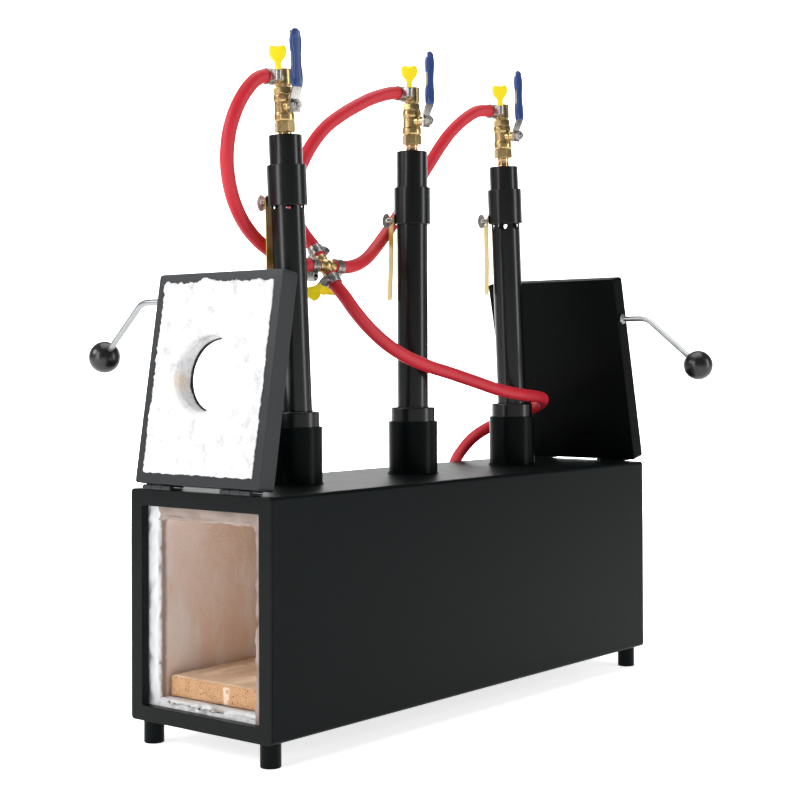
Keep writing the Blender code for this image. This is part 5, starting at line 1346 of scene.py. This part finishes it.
def dress_choke(index, burner):
    """The sliding choke, its wing screw and the blank tag behind the screw."""
    number = index + 1
    sleeve = "choke_sleeve_%d" % number
    place = lifted(burner, TUBE_LENGTHS[index] - CHOKE_DROPS[index])
    inner = TUBE_RADIUS + CHOKE_CLEARANCE
    mesh = bmesh.new()
    add_lathe(mesh, eased(ring_outline(inner, CHOKE_RADIUS, 0.0, CHOKE_LENGTH), 0.0007), 96, place)
    piece("choke_%d_sleeve" % number, mesh, TUBE_COAT, sleeve, ["choke_%d" % number])
    turn = radians(SCREW_TURNS[index])
    out = Vector((cos(turn), sin(turn), 0.0))
    on_choke = place @ frame_along((0.0, 0.0, SCREW_RISE), out)
    shank = SCREW_DIAMETER / 2
    near = CHOKE_RADIUS + GAP
    tag_face = near + TAG_THICKNESS
    hub = tag_face + SCREW_STANDOFF
    wide = SCREW_HUB_DIAMETER / 2
    mesh = bmesh.new()
    profile = [(0.0, TUBE_RADIUS + GAP), (shank, TUBE_RADIUS + GAP), (shank, tag_face + GAP),
               (wide * 1.15, tag_face + GAP), (wide * 1.15, tag_face + 0.0011),
               (wide * 0.82, tag_face + 0.0013), (wide * 0.82, hub), (wide, hub),
               (wide, hub + SCREW_HUB * 0.75), (wide * 0.7, hub + SCREW_HUB), (0.0, hub + SCREW_HUB)]
    add_lathe(mesh, eased(profile, 0.0004, 2), 40, on_choke)
    thread = THREAD.plain({"Radius": shank, "Height": SCREW_STANDOFF - 0.0008, "Turns": 3.0, "Rib": 0.0003})
    add_plain(mesh, thread, lifted(on_choke, tag_face + 0.0012))
    half = SCREW_WING_SPAN / 2
    reach = SCREW_WING_REACH
    thick = SCREW_WING_THICKNESS / 2
    flat = Matrix(((1, 0, 0, 0), (0, 0, 1, 0), (0, 1, 0, 0), (0, 0, 0, 1)))
    turns = [2 * pi * (i + 0.5) / 64 for i in range(64)]
    shape = bmesh.new()
    add_prism(shape, [(half * cos(a), hub + reach / 2 * (1.0 + 0.98 * sin(a))) for a in turns],
              -thick * 0.7, thick * 0.7, on_choke @ flat)
    add_plain_shape(mesh, shape)
    rings = []
    for share, up in ((0.86, -thick), (1.0, -thick), (1.0, thick), (0.86, thick)):
        rim = [(share * half * cos(a), hub + reach / 2 + share * reach / 2 * sin(a), up) for a in turns]
        rings.append([on_choke @ flat @ Vector(spot) for spot in rim])
    add_rings(mesh, rings)
    lock = "choke_lock_%d" % number
    piece("choke_%d_wing_screw" % number, mesh, ZINC, lock, ["choke_screw_%d" % number], ease=0.0005)
    mesh = bmesh.new()
    low = TAG_TOP - TAG_LENGTH
    breadth = TAG_WIDTH / 2
    steps = 36
    rows = []
    for i in range(steps + 1):
        up = low + TAG_LENGTH * i / steps
        from_end = min(up - low, TAG_TOP - up)
        corner = breadth / 3
        cut = corner - (corner ** 2 - (corner - from_end) ** 2) ** 0.5 if from_end < corner else 0.0
        below = max(0.0, -up - 0.008)
        bow = 0.9 * 0.0030 * (below / 0.09) ** 2
        wide_here = breadth - cut
        twist = radians(TAG_TWISTS[index]) * held((-up - 0.001) / 0.006)
        centre = near + bow + wide_here * abs(sin(twist))
        ends = [(0.0, -wide_here), (0.0, wide_here), (TAG_THICKNESS, wide_here), (TAG_THICKNESS, -wide_here)]
        c, s = cos(twist), sin(twist)
        rows.append([on_choke @ Vector((up, y * c - z * s, centre + y * s + z * c)) for z, y in ends])
    add_rings(mesh, rows, closed=False)
    hole = bmesh.new()
    add_rod(hole, shank + GAP, near - OVERRUN / 2, tag_face + OVERRUN / 2, 32, on_choke)
    mesh = carve(mesh, hole)
    piece("burner_%d_tag" % number, mesh, TAG, sleeve, ["burner_tag_%d" % number])


def dress_valve(index, place):
    """A ball valve with its nipple and hose elbow, then its lever."""
    number = index + 1
    radius = VALVE_BODY_DIAMETER / 2
    body_high = HEX_LOW + VALVE_BODY
    mesh = bmesh.new()
    add_hexagon(mesh, HEX_FLATS, 0.0, HEX_LOW, place, 0.0, NIPPLE_DIAMETER / 2)
    body = [(0.0, HEX_LOW - GAP), (radius * 0.90, HEX_LOW - GAP), (radius, HEX_LOW + 0.0016),
            (radius, HEX_LOW + 0.0078), (radius * 0.93, HEX_LOW + 0.0092),
            (radius * 0.93, body_high - 0.0080), (radius, body_high - 0.0066), (radius, body_high - 0.0012),
            (radius * 0.9, body_high + GAP), (0.0, body_high + GAP)]
    add_lathe(mesh, eased(body, 0.0008, 2), 64, place)
    add_hexagon(mesh, TOP_HEX_FLATS, body_high, VALVE_TOP, place, pi / HEX, ELBOW_DIAMETER / 2 * 0.8)
    elbow = ELBOW_DIAMETER / 2
    high = VALVE_TOP + ELBOW_HEIGHT
    stem = [(0.0, VALVE_TOP - GAP), (elbow * 0.86, VALVE_TOP - GAP), (elbow * 0.86, VALVE_TOP + 0.0015),
            (elbow, VALVE_TOP + 0.0022), (elbow, high), (0.0, high)]
    add_lathe(mesh, eased(stem, 0.0021, 5), 48, place)
    branch = place @ frame_along((0.0, 0.0, BRANCH_UP), (-1.0, 0.0, 0.0))
    arm = BRANCH_DIAMETER / 2
    port = [(0.0, 0.0), (arm, 0.0), (arm, BRANCH_REACH - 0.0026), (arm * 0.88, BRANCH_REACH - 0.0022),
            (arm * 0.88, BRANCH_REACH - GAP), (0.0, BRANCH_REACH - GAP)]
    add_lathe(mesh, eased(port, 0.0005, 2), 48, branch)
    turned = place @ Matrix.Rotation(radians(VALVE_TURNS[index]), 4, "Z")
    viewer = turned @ frame_along((0.0, 0.0, STEM_UP), (0.0, -1.0, 0.0))
    boss = BOSS_DIAMETER / 2
    bore = STEM_DIAMETER / 2 + GAP
    gland = [(bore, radius * 0.6), (boss * 1.22, radius * 0.6), (boss * 1.16, radius + 0.0020),
             (boss, radius + 0.0030), (boss, BOSS_REACH), (bore, BOSS_REACH)]
    add_lathe(mesh, eased(gland, 0.0006, 2), 48, viewer)
    piece("valve_%d_brass" % number, mesh, BRASS, stands_for=["valve_body_%d" % number], ease=0.00035)
    mesh = bmesh.new()
    nipple = NIPPLE_DIAMETER / 2
    jet = NIPPLE_BORE / 2
    tube = [(jet, -NIPPLE_LENGTH), (nipple * 0.6, -NIPPLE_LENGTH), (nipple * 0.94, nipple - NIPPLE_LENGTH),
            (nipple * 0.94, -0.0030), (nipple, -0.0022), (nipple, GAP), (jet, GAP)]
    add_lathe(mesh, eased(tube, 0.0005, 2), 64, place)
    thread = THREAD.plain({"Radius": nipple * 0.94, "Height": 0.0110, "Turns": 10.0, "Rib": 0.00042})
    add_plain(mesh, thread, lifted(place, -0.0145))
    piece("valve_%d_nipple" % number, mesh, NIPPLE_BRASS)
    dress_lever(number, lifted(turned, STEM_UP))


def add_hexagon(mesh, flats, low, high, placing, turn, throat):
    """A hexagon nut whose corners are turned away at both ends, as a lathe would leave them."""
    across = flats / 2
    corner = across / cos(pi / HEX)
    ease = (corner - across) * 0.62
    count = HEX * 12
    angles = [2 * pi * i / count for i in range(count)]
    rings = []
    for height, full in ((low, False), (low + ease, True), (high - ease, True), (high, False)):
        ring = []
        for angle in angles:
            flat = across / cos((angle % (2 * pi / HEX)) - pi / HEX)
            radius = flat if full else min(flat, across * 1.003)
            ring.append(placing @ Vector((radius * cos(angle + turn), radius * sin(angle + turn), height)))
        rings.append(ring)
    for height in (high, low):
        rings.append([placing @ Vector((throat * cos(angle + turn), throat * sin(angle + turn), height))
                      for angle in angles])
    add_rings(mesh, rings)


def dress_lever(number, place):
    """The cranked lever with its stop lug, stem, washer, nut and collar, and the dipped grip with a sunk
    panel on each side.
    """
    near = BOSS_REACH + GAP
    plate = near + LEVER_THICKNESS
    outward = place @ frame_along((0.0, 0.0, 0.0), (0.0, -1.0, 0.0))
    rise = LEVER_STRAIGHT + 2 * LEVER_CRANK
    half = LEVER_WIDTH / 2
    profile = [(near, -LEVER_TAIL), (near, LEVER_STRAIGHT), (near + LEVER_CRANK, rise),
               (near + LEVER_CRANK, LEVER_LENGTH), (plate + LEVER_CRANK, LEVER_LENGTH),
               (plate + LEVER_CRANK, rise), (plate, LEVER_STRAIGHT), (plate, -LEVER_TAIL)]
    across = place @ Matrix(((0, 0, 1, 0), (-1, 0, 0, 0), (0, 1, 0, 0), (0, 0, 0, 1)))
    mesh = bmesh.new()
    add_prism(mesh, profile, -half, half, across)
    lug = [(near - 0.0034, -LEVER_TAIL), (plate, -LEVER_TAIL), (plate, -LEVER_TAIL + 0.0030),
           (near - 0.0034, -LEVER_TAIL + 0.0018)]
    shape = bmesh.new()
    add_prism(shape, lug, -half * 0.96, -half * 0.96 + 0.0024, across)
    add_plain_shape(mesh, shape)
    stem = STEM_DIAMETER / 2
    end = plate + NUT
    add_lathe(mesh, eased(ring_outline(0.0, stem, 0.0, end + SHEET), 0.0006, 2), 32, outward)
    washer = ring_outline(stem, NUT_FLATS * 0.56, plate - GAP, plate + 0.0009)
    add_lathe(mesh, eased(washer, 0.0002, 2), 40, outward)
    add_hexagon(mesh, NUT_FLATS, plate + 0.0008, end - 0.0014, outward, 0.2, stem)
    collar = [(stem, end - 0.0016), (NUT_FLATS * 0.44, end - 0.0016), (NUT_FLATS * 0.41, end), (stem, end)]
    add_lathe(mesh, eased(collar, 0.0005, 2), 40, outward)
    lever = "valve_lever_%d" % number
    piece("lever_%d_plate" % number, mesh, ZINC, lever, ["lever_%d" % number], ease=0.0004)
    middle = near + LEVER_CRANK + LEVER_THICKNESS / 2
    top = LEVER_LENGTH + GRIP_END
    span = top - rise
    wide = GRIP_WIDTH / 2
    breadths = [(0.0, 0.84), (0.05, 0.93), (0.14, 1.0), (0.24, 0.98), (0.36, 0.83), (0.46, 0.77),
                (0.56, 0.82), (0.70, 0.97), (0.79, 1.0), (0.87, 0.88), (0.93, 0.68), (0.975, 0.46),
                (1.0, 0.22)]
    steps = 56
    sides = 40
    rows = []
    for i in range(steps + 1):
        share = i / steps
        (_, first), (_, last), t = between_rows(breadths, share)
        breadth = wide * (first + (last - first) * (3 * t * t - 2 * t ** 3))
        round_end = min(1.0, (share + 0.012) / 0.03, (1.012 - share) / 0.05) ** 0.5
        deep = GRIP_THICKNESS / 2 * round_end
        panel = 0.00055 * held((share - 0.10) / 0.04) * held((0.90 - share) / 0.06)
        ring = []
        for k in range(sides):
            angle = 2 * pi * k / sides
            c, s = cos(angle), sin(angle)
            x = breadth * signed_power(c, 0.55)
            y = deep * signed_power(s, 0.45)
            inside = held((breadth - 0.0014 - abs(x)) / 0.0007)
            y -= panel * inside * (1 if s > 0 else -1)
            ring.append(place @ Vector((x, -middle + y, rise + GAP + span * share)))
        rows.append(ring)
    mesh = bmesh.new()
    add_rings(mesh, rows, closed=False)
    piece("lever_%d_grip" % number, mesh, VINYL, lever, ["lever_grip_%d" % number], soft=True)


def dress_cross():
    """The brass cross in the middle of the hoses."""
    mesh = bmesh.new()
    bmesh.ops.create_uvsphere(mesh, u_segments=40, v_segments=24, radius=CROSS_BODY / 2,
                              matrix=Matrix.Translation(CROSS_CENTRE))
    arm = CROSS_ARM / 2
    reach = CROSS_REACH - GAP
    for _, way, side, _ in CROSS_PORTS:
        profile = [(0.0, 0.0), (arm * 0.88, 0.0), (arm * 0.88, reach - 0.0062), (arm, reach - 0.0050),
                   (arm, reach), (0.0, reach)]
        add_lathe(mesh, eased(profile, 0.0006, 2), 40, frame_along(CROSS_CENTRE, way, side))
    piece("hose_cross", mesh, BRASS, stands_for=["manifold_cross"])


def dress_clamps():
    """A slotted band with its screw housing on each hose end, and a thumb key on each screw."""
    inner = HOSE_DIAMETER / 2 + GAP
    half = BAND_WIDTH / 2
    for i, place in enumerate(clamp_frames()):
        number = i + 1
        mesh = bmesh.new()
        band = ring_outline(inner, inner + BAND_WALL * 0.6, -half, half)
        add_lathe(mesh, eased(band, 0.0002, 2), 64, place)
        ridges = BAND_SLOTS.plain({"Ring": inner + BAND_WALL * 0.7, "Width": BAND_WIDTH * 0.62,
                                   "Thickness": BAND_WALL * 0.5, "Count": 34})
        add_plain(mesh, ridges, place)
        for edge in (-1, 1):
            lip = ring_outline(inner, inner + BAND_WALL, edge * half * 0.78, edge * half)
            add_lathe(mesh, eased(lip, 0.0002, 2), 64, place)
        shape = bmesh.new()
        add_box(shape, (inner, -HOUSING_ALONG_SCREW / 2, -HOUSING_ALONG_HOSE / 2),
                (HOUSING_OFFSET, HOUSING_ALONG_SCREW / 2, HOUSING_ALONG_HOSE / 2), bevel=0.0006, segments=3)
        add_plain_shape(mesh, shape, place)
        screw = place @ frame_along((HOUSING_OFFSET, 0.0, 0.0), (0.0, 1.0, 0.0), (1.0, 0.0, 0.0))
        crown = HOUSING_DEPTH / 2
        long = HOUSING_ALONG_SCREW / 2
        add_lathe(mesh, eased(ring_outline(0.0, crown, -long, long), 0.0007, 3), 40, screw)
        ribs = THREAD.plain({"Radius": crown - 0.0002, "Height": long * 1.5, "Turns": 5.0, "Rib": 0.0004})
        add_plain(mesh, ribs, lifted(screw, -long * 0.75))
        piece("clamp_%d" % number, mesh, ZINC, stands_for=["hose_clamp_%d" % number], ease=0.0002)
        dress_key(number, key_frame(i, place))


def key_frame(i, place):
    """Where a clamp's thumb key stands, +Z along its screw, outwards."""
    screw = place @ Matrix.Translation((HOUSING_OFFSET, 0.0, 0.0))
    if i < BURNER_COUNT:
        way = (branch_frame(i).to_3x3() @ Vector((0.0, 1.0, 0.0))).normalized()
        way = -way if way.z < 0 else way
    else:
        way = CROSS_PORTS[i - BURNER_COUNT][3]
    return frame_along(screw.translation, way, WINGS_ACROSS)


def dress_key(number, place):
    """A moulded thumb key: a round neck that flows into two rounded wings."""
    start = HOUSING_ALONG_SCREW / 2 + GAP
    top = start + NECK + WING_HEIGHT
    neck = NECK_DIAMETER / 2
    thick = WING_THICKNESS / 2
    wing = WING_WIDTH / 2
    steps = 46
    sides = 40
    rows = []
    shape = [(0.0, 1.0, 1.0), (0.20, 1.0, 0.98), (0.30, 1.20, 0.86), (0.39, 1.75, 0.70), (0.48, 2.30, 0.62),
             (0.58, 2.66, 0.60), (0.70, 2.86, 0.62), (0.84, 2.84, 0.62), (0.93, 2.55, 0.58),
             (1.0, 1.95, 0.34)]
    for i in range(steps + 1):
        share = i / steps
        (_, w0, t0), (_, w1, t1), t = between_rows(shape, share)
        wide = min(neck * (w0 + (w1 - w0) * t), wing)
        deep = max(min(neck * (t0 + (t1 - t0) * t), neck), thick * 0.5)
        ring = []
        for k in range(sides):
            angle = 2 * pi * k / sides
            c, s = cos(angle), sin(angle)
            x = wide * signed_power(c, 0.9)
            y = deep * signed_power(s, 0.8)
            dip = 0.0024 * (1.0 - min(1.0, abs(x) / (wing * 0.62)) ** 2) * max(0.0, (share - 0.80) / 0.20)
            ring.append(place @ Vector((x, y, start + (top - start) * share - dip)))
        rows.append(ring)
    mesh = bmesh.new()
    add_rings(mesh, rows, closed=False)
    for way in (-1, 1):
        for rib in range(3):
            bar = bmesh.new()
            up = start + NECK * 0.15 + rib * 0.0026
            add_box(bar, (-neck * 1.02, way * neck * 0.5 - 0.0016, up),
                    (neck * 1.02, way * neck * 0.5 + 0.0016, up + 0.0010), bevel=0.0004, segments=2)
            add_plain_shape(mesh, bar, place)
    piece("key_%d" % number, mesh, YELLOW, "thumb_key_%d" % number, ["clamp_key_%d" % number], soft=True)


def hose_routes():
    """Every hose's route: straight out of its fitting, along its curve, and straight into the next one."""
    run = 2 * BAND_FROM_PORT
    ports = {name: frame_along(CROSS_CENTRE, way) for name, way, _, _ in CROSS_PORTS}
    routes = {}
    for index, (name, route) in enumerate({"hose_1": HOSE_1_ROUTE, "hose_2": HOSE_2_ROUTE}.items()):
        points = straight(branch_frame(index), BRANCH_REACH, run) + [Vector(p) for p in route]
        routes[name] = points + list(reversed(straight(ports[name], CROSS_REACH, run)))
    points = straight(ports["hose_3"], CROSS_REACH, run) + [Vector(p) for p in HOSE_3_ROUTE]
    routes["hose_3"] = points + list(reversed(straight(branch_frame(2), BRANCH_REACH, run)))
    way = CONNECTOR_WAY.normalized()
    points = straight(ports["supply_hose"], CROSS_REACH, run) + [Vector(p) for p in SUPPLY_ROUTE]
    routes["supply_hose"] = points + [CONNECTOR_START - way * HOSE_DIAMETER, CONNECTOR_START - way * GAP]
    return routes


def dress_hoses(connector):
    """The rubber hoses, each swept along its smoothed route."""
    for name, points in hose_routes().items():
        even, length = smooth_route(points, HOSE_FINE_STEP)
        mesh = bmesh.new()
        first = even[0] + (even[1] - even[0]).normalized() * HOSE_END_ROUND
        last = even[-1] - (even[-1] - even[-2]).normalized() * HOSE_END_ROUND
        path = [even[0], first] + even[1:-1] + [last, even[-1]]
        full = HOSE_DIAMETER / 2
        end = full - HOSE_END_ROUND
        radii = [end] + [full] * (len(path) - 2) + [end]
        add_sweep(mesh, path, radii, 32)
        made = piece(name + "_rubber", mesh, RUBBER, stands_for=[name], soft=True)
        supply = name == "supply_hose"


def dress_connector():
    """The brass end of the supply hose, with its knurled collar and union nut."""
    place = frame_along(CONNECTOR_START, CONNECTOR_WAY.normalized())
    collar = CONNECTOR_COLLAR_DIAMETER / 2
    bore = CONNECTOR_BORE / 2
    end = CONNECTOR_COLLAR + CONNECTOR_NUT
    mesh = bmesh.new()
    sleeve = [(0.0, 0.0), (collar * 0.94, 0.0), (collar, 0.0012), (collar, 0.0050), (collar * 0.93, 0.0058),
              (collar * 0.93, 0.0072), (collar, 0.0080), (collar, 0.0120), (collar * 0.93, 0.0128),
              (collar * 0.93, CONNECTOR_COLLAR + GAP), (0.0, CONNECTOR_COLLAR + GAP)]
    add_lathe(mesh, eased(sleeve, 0.0003, 2), 56, place)
    add_hexagon(mesh, CONNECTOR_FLATS, CONNECTOR_COLLAR, end, place, pi / HEX, bore)
    bottom = end - CONNECTOR_BORE_DEPTH
    add_rod(mesh, bore + GAP, bottom - 0.001, bottom, 40, place)
    return piece("hose_connector", mesh, BRASS, stands_for=["supply_connector"], ease=0.0003)


def dress_stage():
    """A pale floor that sweeps up far behind, soft lights and the camera."""
    floor = bmesh.new()
    rows = []
    back = Vector((cos(CAMERA_TURN), sin(CAMERA_TURN), 0.0))
    across = Vector((-back.y, back.x, 0.0))
    for i in range(40):
        t = i / 39
        if t < 0.4:
            away, up = FLOOR_NEAR + (FLOOR_FAR - FLOOR_NEAR) * t / 0.4, 0.0
        else:
            angle = (t - 0.4) / 0.6 * pi / 2
            away, up = FLOOR_FAR + FLOOR_SWEEP * sin(angle), FLOOR_SWEEP * (1.0 - cos(angle))
        spot = back * away + Vector((0.0, 0.0, up))
        rows.append([floor.verts.new(spot + across * side) for side in (-FLOOR_HALF_WIDTH, FLOOR_HALF_WIDTH)])
    for first, second in zip(rows, rows[1:]):
        floor.faces.new((first[0], first[1], second[1], second[0]))
    data = mesh_data("pale_floor", floor)
    data.shade_smooth()
    sweep = in_scene("pale_floor", data)
    pale = bpy.data.materials.new("pale_floor")
    pale.use_nodes = True
    shader = pale.node_tree.nodes["Principled BSDF"]
    values = {"Base Color": (0.93, 0.93, 0.93, 1.0), "Roughness": 0.9, "Specular IOR Level": 0.1,
              "Emission Color": (1.0, 1.0, 1.0, 1.0), "Emission Strength": FLOOR_GLOW}
    for socket, value in values.items():
        shader.inputs[socket].default_value = value
    data.materials.append(pale)
    lights = [
        ("overhead", (0.2, 0.2, 2.6), (0.0, 0.0, 0.3), 2.2, 2.2, 40.0),
        ("left_strip", (-2.75, 0.40, 0.9), (-0.1, 0.0, 0.5), 0.75, 2.2, 31.0),
        ("right_strip", (1.2, -2.5, 0.9), (0.1, 0.0, 0.5), 0.50, 2.2, 26.0),
        ("rim_panel", (-2.2, 1.75, 1.75), (-0.3, 0.0, 0.4), 1.2, 1.0, 34.0),
        ("backdrop", (2.6, 2.2, 3.0), (5.5, 4.6, 1.2), 4.0, 2.0, 900.0),
    ]
    for name, spot, aim, width, height, power in lights:
        lamp = bpy.data.lights.new(name, "AREA")
        lamp.shape = "RECTANGLE"
        lamp.size = width
        lamp.size_y = height
        lamp.energy = power
        made = in_scene(name, lamp)
        made.location = spot
        made.rotation_euler = (Vector(aim) - Vector(spot)).to_track_quat("-Z", "Y").to_euler()
    world = bpy.data.worlds.new("studio")
    bpy.context.scene.world = world
    world.use_nodes = True
    sky = world.node_tree.nodes["Background"]
    sky.inputs["Color"].default_value = (1.0, 1.0, 1.0, 1.0)
    # a faint sky for the light, shown white where the camera looks past the floor
    path = world.node_tree.nodes.new("ShaderNodeLightPath")
    level = world.node_tree.nodes.new("ShaderNodeMath")
    level.operation = "MULTIPLY_ADD"
    level.inputs[1].default_value = SKY_SHOWN - SKY_LIGHT
    level.inputs[2].default_value = SKY_LIGHT
    world.node_tree.links.new(path.outputs["Is Camera Ray"], level.inputs[0])
    world.node_tree.links.new(level.outputs[0], sky.inputs["Strength"])
    bpy.context.scene.view_settings.view_transform = "Standard"
    lens = bpy.data.cameras.new("studio_camera")
    lens.lens = CAMERA_LENS
    lens.sensor_width = 36.0
    lens.shift_y = CAMERA_SHIFT
    camera = in_scene("studio_camera", lens)
    forward = Vector((cos(CAMERA_TILT) * cos(CAMERA_TURN), cos(CAMERA_TILT) * sin(CAMERA_TURN),
                      sin(CAMERA_TILT)))
    right = forward.cross(Vector((0.0, 0.0, 1.0))).normalized()
    up = right.cross(forward)
    rolled_right = right * cos(CAMERA_ROLL) + up * sin(CAMERA_ROLL)
    rolled_up = up * cos(CAMERA_ROLL) - right * sin(CAMERA_ROLL)
    turn = Matrix((rolled_right, rolled_up, -forward)).transposed().to_4x4()
    camera.matrix_world = Matrix.Translation(CAMERA_PLACE) @ turn
    bpy.context.scene.camera = camera


dress_shell()
dress_end_frame("front_end_frame", -1)
dress_end_frame("rear_end_frame", 1)
dress_lining()
dress_floor()
dress_hinges()
dress_door("front", -1, FRONT_DOOR_WIDTH, FRONT_DOOR_HEIGHT, FRONT_LEAN, FRONT_HANDLE_UP, True)
dress_door("rear", 1, REAR_DOOR_WIDTH, REAR_DOOR_HEIGHT, REAR_LEAN, REAR_HANDLE_UP, False)
for burner in range(BURNER_COUNT):
    dress_burner(burner)
dress_cross()
dress_clamps()
dress_hoses(dress_connector())
dress_stage()
